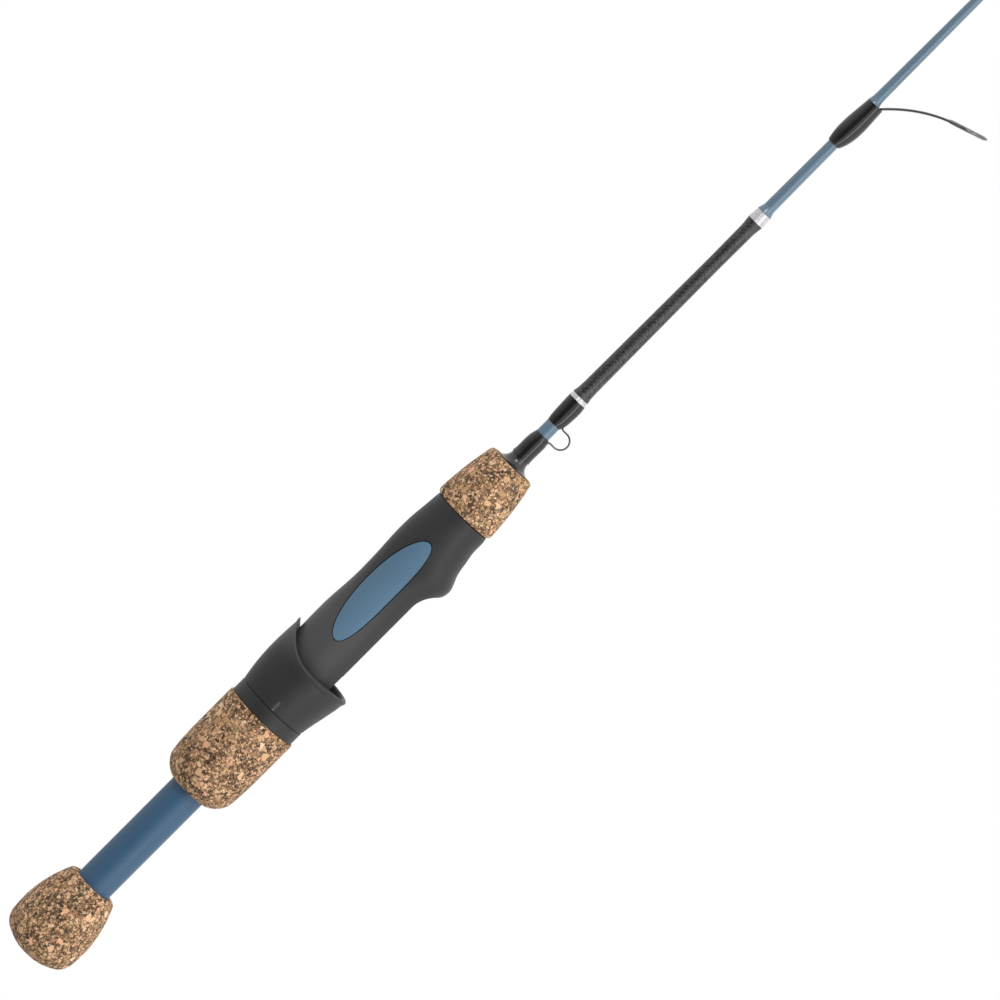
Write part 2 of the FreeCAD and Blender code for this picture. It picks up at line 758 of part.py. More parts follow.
def make_fore_grip():
    """The fore grip: a slightly convex cork cone with a recess for the winding check."""
    end = "(fore_grip_place + fore_grip_length)"
    turned("fore_grip", "fore_grip_place", [
        ("0", blank_bore("fore_grip_place")),
        ("0", "fore_grip_rear_radius", "+fore_grip_rear_arc"),
        ("fore_grip_rear_along", "fore_grip_radius", "+fore_grip_side_arc"),
        ("fore_grip_length - fore_grip_edge", "fore_grip_front_radius", "+fore_grip_edge"),
        ("fore_grip_length", "fore_grip_front_radius - fore_grip_edge"),
        ("fore_grip_length", "check_radius + glue_gap"),
        ("fore_grip_length - fore_grip_recess", "check_radius + glue_gap"),
        ("fore_grip_length - fore_grip_recess", blank_bore(end)),
    ])


def make_check():
    """The winding check: a trumpet that runs from the fore grip down to the first wrap."""
    turned("winding_check", "check_place", [
        ("0", blank_bore("check_place")),
        ("0", "check_radius"),
        ("check_rim", "check_radius", "-check_arc"),
        ("check_length", "check_front_radius"),
        ("check_length", blank_bore("(check_place + check_length)")),
    ])


# ---------------------------------------------------------------- keeper, sleeve and bands


def wrap_body(name, place, length, radius, end_radius, shoulder, arc):
    """A thread wrap under epoxy: a round-shouldered sleeve on the blank."""
    end = "(%s + %s)" % (place, length)
    return turned_body(name, place, [
        ("0", blank_bore(place)),
        ("0", end_radius, "+" + arc),
        (shoulder, radius),
        ("%s - %s" % (length, shoulder), radius, "+" + arc),
        (length, end_radius),
        (length, blank_bore(end)),
    ])


def keeper_wire():
    """The hook keeper: one wire with a foot at each end and a round loop below the blank."""
    depth = -size("keeper_foot_depth")
    bend = size("keeper_bend")
    deep = -size("keeper_loop_depth")
    rear = size("keeper_leg_a_place")
    front = size("keeper_leg_b_place")
    half = (front - rear) / 2
    slant = bend * (1 - math.sqrt(0.5))

    def at(along, height):
        return Vector(along, 0, height)

    edges = [
        Part.makeLine(at(size("keeper_foot_a_place"), depth), at(rear - bend, depth)),
        Part.Arc(at(rear - bend, depth), at(rear - slant, depth - slant), at(rear, depth - bend)).toShape(),
        Part.makeLine(at(rear, depth - bend), at(rear, deep)),
        Part.Arc(at(rear, deep), at(rear + half, deep - half), at(front, deep)).toShape(),
        Part.makeLine(at(front, deep), at(front, depth - bend)),
        Part.Arc(at(front, depth - bend), at(front + slant, depth - slant), at(front + bend, depth)).toShape(),
        Part.makeLine(at(front + bend, depth), at(size("keeper_foot_b_place"), depth)),
    ]
    start = at(size("keeper_foot_a_place"), depth)
    circle = Part.Wire(Part.makeCircle(size("keeper_wire_radius"), start, X_AXIS))
    return Part.Wire(edges).makePipeShell([circle], True, True)


def make_keeper():
    """The hook keeper and the two wraps that hold its feet."""
    keeper = keep(coded("hook_keeper", keeper_wire()), "hook_keeper")
    for name, label in (("a", "keeper_wrap_rear"), ("b", "keeper_wrap_front")):
        prefix = "wrap_%s_" % name
        solid = wrap_body(label + "_solid", prefix + "place", prefix + "length", prefix + "radius",
                          "wrap_end_radius", "wrap_shoulder", "wrap_shoulder_arc")
        keep(cut(label, solid, keeper), label)


def make_sleeve():
    """The woven carbon sleeve, with a bright trim band at each end."""
    turned("trim_band_rear", "band_a_place", [
        ("0", blank_bore("band_a_place")),
        ("0", "band_a_rear_radius"),
        ("band_a_length", "band_a_front_radius"),
        ("band_a_length", blank_bore("(band_a_place + band_a_length)")),
    ])
    turned("carbon_sleeve", "sleeve_place", [
        ("0", blank_bore("sleeve_place")),
        ("0", "sleeve_rear_radius"),
        ("sleeve_neck_along", "sleeve_neck_radius"),
        ("sleeve_waist_along", "sleeve_waist_radius"),
        ("sleeve_flare_along", "sleeve_flare_radius"),
        ("sleeve_length", "sleeve_front_radius"),
        ("sleeve_length", blank_bore("(sleeve_place + sleeve_length)")),
    ])
    turned("trim_band_front", "band_b_place", [
        ("0", blank_bore("band_b_place")),
        ("0", "band_b_rear_radius"),
        ("band_b_length", "band_b_front_radius"),
        ("band_b_length", blank_bore("(band_b_place + band_b_length)")),
    ])


# ---------------------------------------------------------------- line guides


def ring_leg(start, centre, lean, radius, side, wire):
    """A wire leg from a foot to the side of a leaning ring, which it meets along the ring.

    It leaves the foot flatter than the straight line to the ring and then bends down.
    """
    up = Vector(-math.sin(lean), 0, math.cos(lean))
    turn = math.radians(size("guide_leg_meet"))
    meet = centre + up * (radius * math.cos(turn)) + Y_AXIS * (side * radius * math.sin(turn))
    along_ring = up * -math.sin(turn) + Y_AXIS * (side * math.cos(turn) * LEG_END_SPREAD)
    reach = meet - start
    along, across, drop = LEG_START_PULL
    first = Vector(reach.x * along, reach.y * across, reach.z * drop)
    curve = Part.BSplineCurve()
    curve.interpolate([start, meet], InitialTangent=first, FinalTangent=along_ring * reach.Length * LEG_END_PULL)
    path = Part.Wire(curve.toShape())
    circle = Part.Wire(Part.makeCircle(wire * size("guide_leg_share"), start, first))
    return path.makePipeShell([circle], True, True)


def leaning_ring(centre, lean, radius, wire):
    """A round-wire ring whose plane leans towards the tip."""
    normal = Vector(math.cos(lean), 0, math.sin(lean))
    return Part.makeTorus(radius, wire, centre, normal)


def make_insert(name, place, drop, lean, outer, inner, length, rounding):
    """The ring liner: a short tube with rounded ends on its bore, placed in the leaning ring."""
    body = turned_body(name, "0", [
        ("0 - (%s) / 2" % length, outer),
        ("(%s) / 2" % length, outer),
        ("(%s) / 2" % length, "%s + %s" % (inner, rounding), "+" + rounding),
        ("(%s) / 2 - (%s)" % (length, rounding), inner),
        ("(%s) - (%s) / 2" % (rounding, length), inner, "+" + rounding),
        ("0 - (%s) / 2" % length, "%s + %s" % (inner, rounding)),
    ])
    body.Placement = FreeCAD.Placement(Vector(), FreeCAD.Rotation(Y_AXIS, -size(lean)))
    body.setExpression("Placement.Base.x", bound(place))
    body.setExpression("Placement.Base.z", bound("0 - (%s)" % drop))
    keep(body, name)


def make_guide(number):
    """One line guide: wire frame with a foot, ring liner, and the thread wrap that holds the foot."""
    name = "guide_%d_" % number
    place = name + "place"
    scale = name + "scale"
    under = blank_radius(place)
    centre_along = "(%s + (guide_foot_length + guide_ring_along) * %s)" % (place, scale)
    centre_drop = "(%s + guide_ring_drop * %s)" % (under, scale)
    lean = math.radians(size("guide_ring_lean"))
    wire = size("guide_wire") * math.sqrt(size(scale))
    foot_length = size("guide_foot_length * %s" % scale)
    foot_thickness = size("guide_foot_thickness * %s" % scale)
    foot_top = -size(under + " + glue_gap")
    half_width = size("guide_foot_width * %s / 2" % scale)
    corner = Vector(size(place), -half_width, foot_top - foot_thickness)
    foot = Part.makeBox(foot_length, half_width * 2, foot_thickness, corner)
    centre = Vector(size(centre_along), 0, -size(centre_drop))
    radius = size("guide_ring_radius * %s" % scale)
    wires = [leaning_ring(centre, lean, radius, wire)]
    for side in (-1, 1):
        start = Vector(size(place) + foot_length - wire, side * size("guide_leg_spread * %s" % scale),
                       foot_top - foot_thickness / 2)
        wires.append(ring_leg(start, centre, lean, radius, side, wire))
    frame = keep(coded(name + "frame", foot.multiFuse(wires)), name + "frame")
    outer = "guide_ring_radius * %s - guide_wire * sqrt(%s) - glue_gap" % (scale, scale)
    make_insert(name + "ring", centre_along, centre_drop, "guide_ring_lean", outer, "insert_inner * %s" % scale,
                "insert_length * %s" % scale, "insert_round * %s" % scale)
    sections = []
    for along, top, depth in WRAP_SECTIONS:
        spot = "(%s + (%s) * guide_foot_length * %s)" % (place, along, scale)
        sections.append((spot, "(%s + %s * %s)" % (blank_radius(spot), top, scale),
                         "(%s + %s * %s)" % (blank_radius(spot), depth, scale)))
    solid = round_loft(name + "wrap_solid", sections)
    start = "(%s - guide_foot_length * %s)" % (place, scale)
    end = "(%s + guide_foot_length * %s * 2)" % (place, scale)
    hole = turned_body(name + "wrap_bore", start, [
        ("0", "0"),
        ("0", blank_bore(start)),
        ("guide_foot_length * %s * 3" % scale, blank_bore(end)),
        ("guide_foot_length * %s * 3" % scale, "0"),
    ])
    keep(cut(name + "wrap", solid, hole, frame), name + "wrap")


def make_tip_top():
    """The tip top: a tube on the blank's end with a leaning ring, its liner and its wrap."""
    place = "tip_tube_place"
    sleeve = turned_body("tip_tube", place, [
        ("0", blank_bore(place)),
        ("0", "tip_tube_radius"),
        ("tip_tube_length", "tip_tube_radius"),
        ("tip_tube_length", "0"),
        ("blank_tip_place - tip_tube_place + glue_gap", "0"),
        ("blank_tip_place - tip_tube_place + glue_gap", blank_bore("blank_tip_place")),
    ])
    lean = math.radians(size("tip_ring_lean"))
    centre = Vector(size("tip_ring_place"), 0, -size("tip_ring_drop"))
    turn = math.radians(size("guide_leg_meet"))
    wire = size("tip_wire")
    strut_wire = size("tip_strut_wire")
    tube = size("tip_tube_radius")
    radius = size("tip_ring_radius")
    frame = leaning_ring(centre, lean, radius, wire)
    up = Vector(-math.sin(lean), 0, math.cos(lean))
    for side in (-1, 1):
        start = Vector(size("tip_tube_place + tip_strut_along"), side * size("tip_strut_spread"), strut_wire - tube)
        meet = centre - up * (radius * math.cos(turn)) + Y_AXIS * (side * radius * math.sin(turn))
        strut = Part.Wire(Part.makeLine(start, meet))
        circle = Part.Wire(Part.makeCircle(strut_wire, start, meet - start))
        frame = frame.fuse(strut.makePipeShell([circle], True, True))
    hole = rod_cylinder("tip_hole", place, "blank_tip_place", "tip_hole_radius")
    struts = cut("tip_struts", coded("tip_loop", frame), hole)
    keep(fused("tip_top_frame", sleeve, struts), "tip_top_frame")
    make_insert("tip_top_ring", "tip_ring_place", "tip_ring_drop", "tip_ring_lean", "tip_insert_outer",
                "tip_insert_inner", "tip_insert_length", "tip_insert_round")
    keep(wrap_body("tip_top_wrap", "tip_wrap_place", "tip_wrap_length", "tip_wrap_radius",
                   "tip_wrap_end_radius", "tip_wrap_shoulder", "tip_wrap_arc"), "tip_top_wrap")


def make_rod():
    """Every sub-part, from the butt to the tip."""
    make_blank()
    make_knob()
    make_tube()
    make_arbor("tube_arbor", "tube_arbor_place", "tube_arbor_length", "tube_bore - glue_gap")
    make_rear_grip()
    make_lock_nut()
    make_washer()
    make_hood()
    make_seat()
    make_arbor("seat_arbor_rear", "rear_arbor_place", "rear_arbor_length", "seat_bore - glue_gap")
    make_arbor("seat_arbor_front", "front_arbor_place", "front_arbor_length", "seat_bore - glue_gap")
    make_fore_grip()
    make_check()
    make_keeper()
    make_sleeve()
    for number in GUIDES:
        make_guide(number)
    make_tip_top()


def export_pieces():
    """Check every object, then write one STEP file for each sub-part."""
    document.recompute()
    for item in document.Objects:
        broken = [state for state in item.State if state in ("Invalid", "Error")]
        if broken:
            raise RuntimeError("%s is %s" % (item.Name, ", ".join(broken)))
    os.makedirs("parts", exist_ok=True)
    for piece in pieces:
        shape = piece.Shape
        if shape.isNull() or not shape.isValid() or not shape.Solids:
            raise RuntimeError("%s has no valid solid" % piece.Label)
    for piece in pieces:
        piece.Shape.exportStep("parts/%s.step" % piece.Label)
        print("%-20s %d solid(s) %9.1f mm3" % (piece.Label, len(piece.Shape.Solids), piece.Shape.Volume))


fill_sheet()
make_rod()
export_pieces()
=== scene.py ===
"""The looks of an ice fishing rod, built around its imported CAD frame.

The rod's axis is X with the tip at +X, Z is up, and lengths are metres. Patterns and outlines that are
easier to read in millimetres are written in millimetres and scaled by MM.
"""
import math

import bpy
import numpy as np
from mathutils import Matrix, Vector


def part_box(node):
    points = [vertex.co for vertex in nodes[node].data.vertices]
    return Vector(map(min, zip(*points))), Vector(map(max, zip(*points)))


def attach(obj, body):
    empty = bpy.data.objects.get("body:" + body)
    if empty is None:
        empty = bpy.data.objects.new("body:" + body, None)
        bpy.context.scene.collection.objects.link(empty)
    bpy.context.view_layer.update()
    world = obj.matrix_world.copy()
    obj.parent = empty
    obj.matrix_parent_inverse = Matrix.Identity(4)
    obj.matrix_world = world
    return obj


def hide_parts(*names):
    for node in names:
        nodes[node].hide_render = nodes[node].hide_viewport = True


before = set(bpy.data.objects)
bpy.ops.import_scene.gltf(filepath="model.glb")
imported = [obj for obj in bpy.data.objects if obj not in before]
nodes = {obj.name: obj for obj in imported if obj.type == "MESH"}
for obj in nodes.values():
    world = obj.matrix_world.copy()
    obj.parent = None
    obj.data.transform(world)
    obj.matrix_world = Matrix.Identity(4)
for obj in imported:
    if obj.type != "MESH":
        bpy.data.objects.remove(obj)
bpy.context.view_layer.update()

MM = 0.001
FULL_TURN = 2 * math.pi


# ---------------------------------------------------------------- node trees


def add(tree, kind, inputs=None, **properties):
    """Add a node, set its properties, and link or set each of its inputs."""
    made = tree.nodes.new(kind)
    for name, setting in properties.items():
        setattr(made, name, setting)
    for key, given in (inputs or {}).items():
        if isinstance(given, bpy.types.NodeSocket):
            tree.links.new(given, made.inputs[key])
        else:
            made.inputs[key].default_value = given
    return made


def calc(tree, operation, *numbers):
    """One step of arithmetic on numbers or sockets."""
    return add(tree, "ShaderNodeMath", dict(enumerate(numbers)), operation=operation).outputs[0]


def vector_calc(tree, operation, *vectors):
    """One step of vector arithmetic that gives a vector."""
    return add(tree, "ShaderNodeVectorMath", dict(enumerate(vectors)), operation=operation).outputs[0]


def part_of(tree, vector, direction):
    """The length of a vector, or of a colour, along a direction."""
    inputs = {0: vector, 1: direction}
    return add(tree, "ShaderNodeVectorMath", inputs, operation="DOT_PRODUCT").outputs["Value"]


def scaled(tree, vector, factor):
    """A vector times a number."""
    return add(tree, "ShaderNodeVectorMath", {0: vector, "Scale": factor}, operation="SCALE").outputs[0]


def step(tree, number, low, high, first=0.0, last=1.0):
    """A smooth step from first to last while the number goes from low to high."""
    inputs = {0: number, 1: low, 2: high, 3: first, 4: last}
    return add(tree, "ShaderNodeMapRange", inputs, interpolation_type="SMOOTHSTEP").outputs[0]


def choose(tree, share, first, second):
    """A number between first and second."""
    return add(tree, "ShaderNodeMix", {0: share, 2: first, 3: second}, data_type="FLOAT").outputs[0]


def mixed(tree, share, first, second):
    """A colour between first and second."""
    inputs = {0: share, 6: first, 7: second}
    return add(tree, "ShaderNodeMix", inputs, data_type="RGBA").outputs[2]


def ramp(tree, share, stops):
    """A colour from a ramp of (place, colour) stops."""
    made = add(tree, "ShaderNodeValToRGB", {0: share})
    points = made.color_ramp.elements
    points.remove(points[1])
    points[0].position, points[0].color = stops[0]
    for place, colour in stops[1:]:
        points.new(place).color = colour
    return made.outputs[0]


def noise(tree, place, scale, detail=2.0, roughness=0.5):
    """A noise texture's two outputs: a number and a colour."""
    inputs = {"Vector": place, "Scale": scale, "Detail": detail, "Roughness": roughness}
    made = add(tree, "ShaderNodeTexNoise", inputs)
    return made.outputs[0], made.outputs[1]


def cells(tree, place, across):
    """Random cells of about a width: each cell's three random numbers, and the distance to its border."""
    scale = 1 / across
    inside = add(tree, "ShaderNodeTexVoronoi", {"Vector": place, "Scale": scale}, feature="F1")
    border = add(tree, "ShaderNodeTexVoronoi", {"Vector": place, "Scale": scale}, feature="DISTANCE_TO_EDGE")
    randoms = [part_of(tree, inside.outputs["Color"], axis) for axis in ((1, 0, 0), (0, 1, 0), (0, 0, 1))]
    return randoms, calc(tree, "MULTIPLY", border.outputs["Distance"], across)


def tint(red, green, blue):
    """A linear colour from screen values between 0 and 255."""
    screen = (red / 255, green / 255, blue / 255)
    linear = [part / 12.92 if part <= 0.04045 else ((part + 0.055) / 1.055) ** 2.4 for part in screen]
    return (*linear, 1.0)


def grey(level):
    """A linear grey."""
    return (level, level, level, 1.0)


def surface(name, **settings):
    """A new material: its tree, its shader, and the place on the piece in millimetres."""
    made = bpy.data.materials.new(name)
    made.use_nodes = True
    tree = made.node_tree
    tree.nodes.clear()
    shader = add(tree, "ShaderNodeBsdfPrincipled", settings)
    add(tree, "ShaderNodeOutputMaterial", {"Surface": shader.outputs[0]})
    coordinates = tree.nodes.new("ShaderNodeTexCoord")
    place = scaled(tree, coordinates.outputs["Object"], 1 / MM)
    return made, tree, shader, place


def relieve(tree, shader, height, strength=1.0, socket="Normal"):
    """Bump a shader by a height in millimetres."""
    bump = add(tree, "ShaderNodeBump", {"Strength": strength, "Distance": MM, "Height": height})
    tree.links.new(bump.outputs[0], shader.inputs[socket])


def around_axis(tree, place):
    """A place's distance along the rod and its turn around the axis, from 0 to 1."""
    parts = add(tree, "ShaderNodeSeparateXYZ", {0: place})
    angle = calc(tree, "ARCTAN2", parts.outputs["Z"], parts.outputs["Y"])
    return parts.outputs["X"], calc(tree, "ADD", calc(tree, "DIVIDE", angle, FULL_TURN), 0.5)


# ---------------------------------------------------------------- patterns shared by materials and geometry

# Composite cork, in millimetres: how wide its big and small granules and its crumbs are, how far their
# borders wander, and how wide the joints between them are.
BIG_GRANULE = 1.9
SMALL_GRANULE = 0.95
CRUMB = 0.45
BORDER_WANDER = 1.5
JOINT_NARROW, JOINT_WIDE = 0.03, 0.24
# The share of cells that aren't big granules, and the share of the rest that are crumbs.
NOT_BIG, NOT_SMALL = 0.88, 0.36
# Its relief in millimetres: how proud a granule stands, and how deep crumbs and joints lie.
GRANULE_RISE = 0.03
CRUMB_DEPTH = 0.05
JOINT_DEPTH = 0.05
# The relief fades out between these radii, so that a bore stays true.
BORE_FADE = (6.2, 7.2)


def cork_grain(tree, place):
    """Composite cork: granules of three sizes with dark rubber crumbs between them.

    Gives each granule's tone, how dark the spot is, how deep in a joint it is, and the height in millimetres.
    """
    _, wander = noise(tree, place, 0.8, 4.0, 0.6)
    wander = vector_calc(tree, "SUBTRACT", wander, (0.5, 0.5, 0.5))
    bent = vector_calc(tree, "ADD", place, scaled(tree, wander, BORDER_WANDER))
    cluster, _ = noise(tree, place, 0.16, 2.0)
    big, big_border = cells(tree, bent, BIG_GRANULE)
    small, small_border = cells(tree, bent, SMALL_GRANULE)
    crumb, crumb_border = cells(tree, bent, CRUMB)
    is_big = calc(tree, "GREATER_THAN", big[0], NOT_BIG)
    is_small = calc(tree, "GREATER_THAN", small[0], NOT_SMALL)
    tone = choose(tree, is_big, choose(tree, is_small, crumb[1], small[1]), big[1])
    crumb_edge = calc(tree, "MINIMUM", crumb_border, calc(tree, "MINIMUM", small_border, big_border))
    small_edge = calc(tree, "MINIMUM", small_border, big_border)
    edge = choose(tree, is_big, choose(tree, is_small, crumb_edge, small_edge), big_border)
    limit = step(tree, cluster, 0.36, 0.62, 0.95, 0.66)
    crumb_dark = calc(tree, "GREATER_THAN", crumb[2], limit)
    small_dark = calc(tree, "GREATER_THAN", calc(tree, "MULTIPLY", small[2], 0.90), limit)
    dark = choose(tree, is_big, choose(tree, is_small, crumb_dark, small_dark), 0.0)
    thin, _ = noise(tree, place, 1.1, 1.0)
    width = step(tree, thin, 0.36, 0.64, JOINT_NARROW, JOINT_WIDE)
    joint = calc(tree, "SUBTRACT", 1.0, calc(tree, "DIVIDE", edge, width))
    joint = calc(tree, "MAXIMUM", joint, 0.0)
    crumb_depth = calc(tree, "MULTIPLY", dark, CRUMB_DEPTH)
    depth = calc(tree, "ADD", crumb_depth, calc(tree, "MULTIPLY", joint, JOINT_DEPTH))
    proud = choose(tree, is_big, calc(tree, "MULTIPLY", tone, GRANULE_RISE), GRANULE_RISE)
    return tone, dark, joint, calc(tree, "SUBTRACT", proud, depth)


def cork_height(tree, place):
    """The relief of composite cork, which fades out in a bore."""
    height = cork_grain(tree, place)[3]
    flat = vector_calc(tree, "MULTIPLY", place, (0, 1, 1))
    radius = add(tree, "ShaderNodeVectorMath", {0: flat}, operation="LENGTH").outputs["Value"]
    return calc(tree, "MULTIPLY", height, step(tree, radius, *BORE_FADE))


# The carbon weave: tows around the sleeve, a tow's width along it in millimetres, and how high one crowns.
TOWS_AROUND = 10
TOW_LENGTH = 1.44
TOW_CROWN = 0.05
FILAMENTS = 40.0


def twill(tree, place):
    """Two sets of carbon tows that cross at 45 degrees in a two-by-two twill.

    Gives 1 where the first set is on top, each set's count of tows so far, and the height in millimetres.
    """
    along, turn = around_axis(tree, place)
    turn = calc(tree, "MULTIPLY", turn, TOWS_AROUND)
    steps = calc(tree, "DIVIDE", along, TOW_LENGTH)
    first = calc(tree, "ADD", steps, turn)
    second = calc(tree, "SUBTRACT", steps, turn)
    difference = calc(tree, "SUBTRACT", calc(tree, "FLOOR", first), calc(tree, "FLOOR", second))
    on_top = calc(tree, "LESS_THAN", calc(tree, "FLOORED_MODULO", difference, 4.0), 1.5)
    crown_first = calc(tree, "SINE", calc(tree, "MULTIPLY", calc(tree, "FRACT", first), math.pi))
    crown_second = calc(tree, "SINE", calc(tree, "MULTIPLY", calc(tree, "FRACT", second), math.pi))
    crown = choose(tree, on_top, crown_second, crown_first)
    return on_top, first, second, calc(tree, "MULTIPLY", calc(tree, "POWER", crown, 0.6), TOW_CROWN)


def twill_height(tree, place):
    """The relief of the carbon sleeve."""
    return twill(tree, place)[3]


def thread_height(pitch, depth):
    """The relief of thread wound side by side, for a pitch and a depth in millimetres."""

    def height(tree, place):
        along = add(tree, "ShaderNodeSeparateXYZ", {0: place}).outputs["X"]
        wave = calc(tree, "SINE", calc(tree, "MULTIPLY", along, math.pi / pitch))
        return calc(tree, "MULTIPLY", calc(tree, "ABSOLUTE", wave), depth)

    return height


# ---------------------------------------------------------------- materials

# Where a painted highlight makes the seat paler, in millimetres: it starts and ends along the rod, and fades
# below the axis.
PAINTED_HIGHLIGHT_START = (122.0, 132.0)
PAINTED_HIGHLIGHT_END = (140.0, 166.0)
PAINTED_HIGHLIGHT_HEIGHT = (-7.0, 0.0)
WRAP_THREAD_DEPTH = 0.05


def make_cork():
    """Composite cork, sanded and unvarnished."""
    made, tree, shader, place = surface("composite_cork")
    tone, dark, joint, height = cork_grain(tree, place)
    light = ramp(tree, tone, [
        (0.0, tint(160, 124, 86)),
        (0.2, tint(200, 158, 114)),
        (0.42, tint(228, 184, 138)),
        (0.6, tint(242, 202, 156)),
        (0.75, tint(246, 192, 150)),
        (0.88, tint(234, 170, 134)),
        (1.0, tint(252, 222, 180)),
    ])
    mottle, _ = noise(tree, place, 2.6, 4.0, 0.65)
    light = mixed(tree, step(tree, mottle, 0.3, 0.7, 0.35, 0.0), light, tint(120, 84, 54))
    rubber = mixed(tree, mottle, tint(40, 36, 30), tint(98, 80, 56))
    body = mixed(tree, dark, light, rubber)
    body = mixed(tree, calc(tree, "MULTIPLY", joint, 0.95), body, tint(58, 40, 24))
    tree.links.new(body, shader.inputs["Base Color"])
    tree.links.new(choose(tree, dark, 0.72, 0.55), shader.inputs["Roughness"])
    shader.inputs["Specular IOR Level"].default_value = 0.35
    grit, _ = noise(tree, place, 9.0, 2.0)
    relieve(tree, shader, calc(tree, "ADD", height, calc(tree, "MULTIPLY", grit, 0.02)), 0.7)
    return made


def make_seat_black():
    """Satin black polymer with a fine moulded grain and a painted highlight: a paler patch over part of its
    upper side.
    """
    made, tree, shader, place = surface("seat_black")
    patch, _ = noise(tree, place, 0.09, 3.0)
    grain, _ = noise(tree, place, 5.0, 3.0)
    parts = add(tree, "ShaderNodeSeparateXYZ", {0: place})
    behind = step(tree, parts.outputs["X"], *PAINTED_HIGHLIGHT_START)
    ahead = step(tree, parts.outputs["X"], *PAINTED_HIGHLIGHT_END, 1.0, 0.0)
    high = step(tree, parts.outputs["Z"], *PAINTED_HIGHLIGHT_HEIGHT, 0.15, 1.0)
    painted_highlight = calc(tree, "MULTIPLY", calc(tree, "MULTIPLY", behind, ahead), high)
    plain = mixed(tree, patch, tint(44, 44, 45), tint(52, 51, 51))
    # The paler colour mixed in here is a painted highlight on the seat's upper side, between two places along
    # the rod.
    tree.links.new(mixed(tree, painted_highlight, plain, tint(76, 75, 75)), shader.inputs["Base Color"])
    tree.links.new(step(tree, patch, 0.3, 0.7, 0.42, 0.5), shader.inputs["Roughness"])
    shader.inputs["Specular IOR Level"].default_value = 0.28
    relieve(tree, shader, calc(tree, "MULTIPLY", grain, 0.012))
    return made


def make_lacquer(name, colour, roughness, coat):
    """Paint or lacquer with a slight orange peel."""
    made, tree, shader, place = surface(name)
    patch, _ = noise(tree, place, 0.05, 2.0)
    peel, _ = noise(tree, place, 1.3, 2.0)
    deep = tuple(part * 0.9 for part in colour[:3]) + (1.0,)
    tree.links.new(mixed(tree, patch, deep, colour), shader.inputs["Base Color"])
    tree.links.new(step(tree, patch, 0.3, 0.7, roughness, roughness + 0.05), shader.inputs["Roughness"])
    shader.inputs["Coat Weight"].default_value = coat
    shader.inputs["Coat Roughness"].default_value = 0.12
    relieve(tree, shader, calc(tree, "MULTIPLY", peel, 0.002))
    return made


def make_inlay_blue():
    """Soft-touch blue rubber."""
    made, tree, shader, place = surface("inlay_blue")
    grain, _ = noise(tree, place, 6.0, 3.0)
    patch, _ = noise(tree, place, 0.12, 2.0)
    tree.links.new(mixed(tree, patch, tint(80, 112, 136), tint(88, 119, 142)), shader.inputs["Base Color"])
    shader.inputs["Roughness"].default_value = 0.6
    shader.inputs["Specular IOR Level"].default_value = 0.35
    relieve(tree, shader, calc(tree, "MULTIPLY", grain, 0.015))
    return made


def make_wrap(name, colour, pitch):
    """Thread under a thick, clear epoxy coat."""
    made, tree, shader, place = surface(name)
    shade, _ = noise(tree, place, 0.7, 2.0)
    deep = tuple(part * 0.6 for part in colour[:3]) + (1.0,)
    tree.links.new(mixed(tree, shade, deep, colour), shader.inputs["Base Color"])
    shader.inputs["Roughness"].default_value = 0.6
    shader.inputs["Specular IOR Level"].default_value = 0.15
    shader.inputs["Coat Weight"].default_value = 1.0
    shader.inputs["Coat Roughness"].default_value = 0.04
    relieve(tree, shader, thread_height(pitch, WRAP_THREAD_DEPTH)(tree, place), 0.5)
    wave, _ = noise(tree, place, 0.25, 0.0)
    relieve(tree, shader, calc(tree, "MULTIPLY", wave, 0.03), 1.0, "Coat Normal")
    return made


def make_carbon():
    """Woven carbon tows under a thin satin coat, with a painted sheen that makes one set of tows lighter than
    the other.
    """
    made, tree, shader, place = surface("carbon_weave")
    on_top, first, second, height = twill(tree, place)
    lines = choose(tree, on_top, second, first)
    filaments = calc(tree, "SINE", calc(tree, "MULTIPLY", lines, FILAMENTS))
    shade, _ = noise(tree, place, 0.8, 3.0, 0.7)
    # Both sets of tows are the same carbon: their dark and light colours are painted sheen, standing in for
    # light that falls differently along each fibre direction.
    base = mixed(tree, on_top, tint(30, 30, 31), tint(58, 57, 58))
    base = mixed(tree, step(tree, shade, 0.35, 0.7, 0.0, 0.6), base, tint(84, 80, 80))
    tree.links.new(base, shader.inputs["Base Color"])
    tree.links.new(choose(tree, on_top, 0.36, 0.5), shader.inputs["Roughness"])
    shader.inputs["Metallic"].default_value = 0.35
    shader.inputs["Coat Weight"].default_value = 0.35
    shader.inputs["Coat Roughness"].default_value = 0.25
    relieve(tree, shader, calc(tree, "ADD", height, calc(tree, "MULTIPLY", filaments, 0.004)))
    return made


def make_metal(name, colour, roughness):
    """Polished wire with faint drawing lines."""
    made, tree, shader, place = surface(name, Metallic=1.0)
    smear, _ = noise(tree, place, 2.0, 3.0)
    deep = tuple(part * 0.8 for part in colour[:3]) + (1.0,)
    tree.links.new(mixed(tree, smear, deep, colour), shader.inputs["Base Color"])
    tree.links.new(step(tree, smear, 0.3, 0.7, roughness, roughness + 0.1), shader.inputs["Roughness"])
    relieve(tree, shader, calc(tree, "MULTIPLY", smear, 0.003))
    return made


def make_liner():
    """The grey, glassy ceramic of a line guide's ring."""
    made, tree, shader, place = surface("ring_liner")
    speck, _ = noise(tree, place, 4.0, 2.0)
    tree.links.new(mixed(tree, speck, tint(140, 140, 146), tint(170, 170, 174)), shader.inputs["Base Color"])
    tree.links.new(step(tree, speck, 0.3, 0.7, 0.1, 0.18), shader.inputs["Roughness"])
    shader.inputs["Coat Weight"].default_value = 0.6
    relieve(tree, shader, calc(tree, "MULTIPLY", speck, 0.004))
    return made


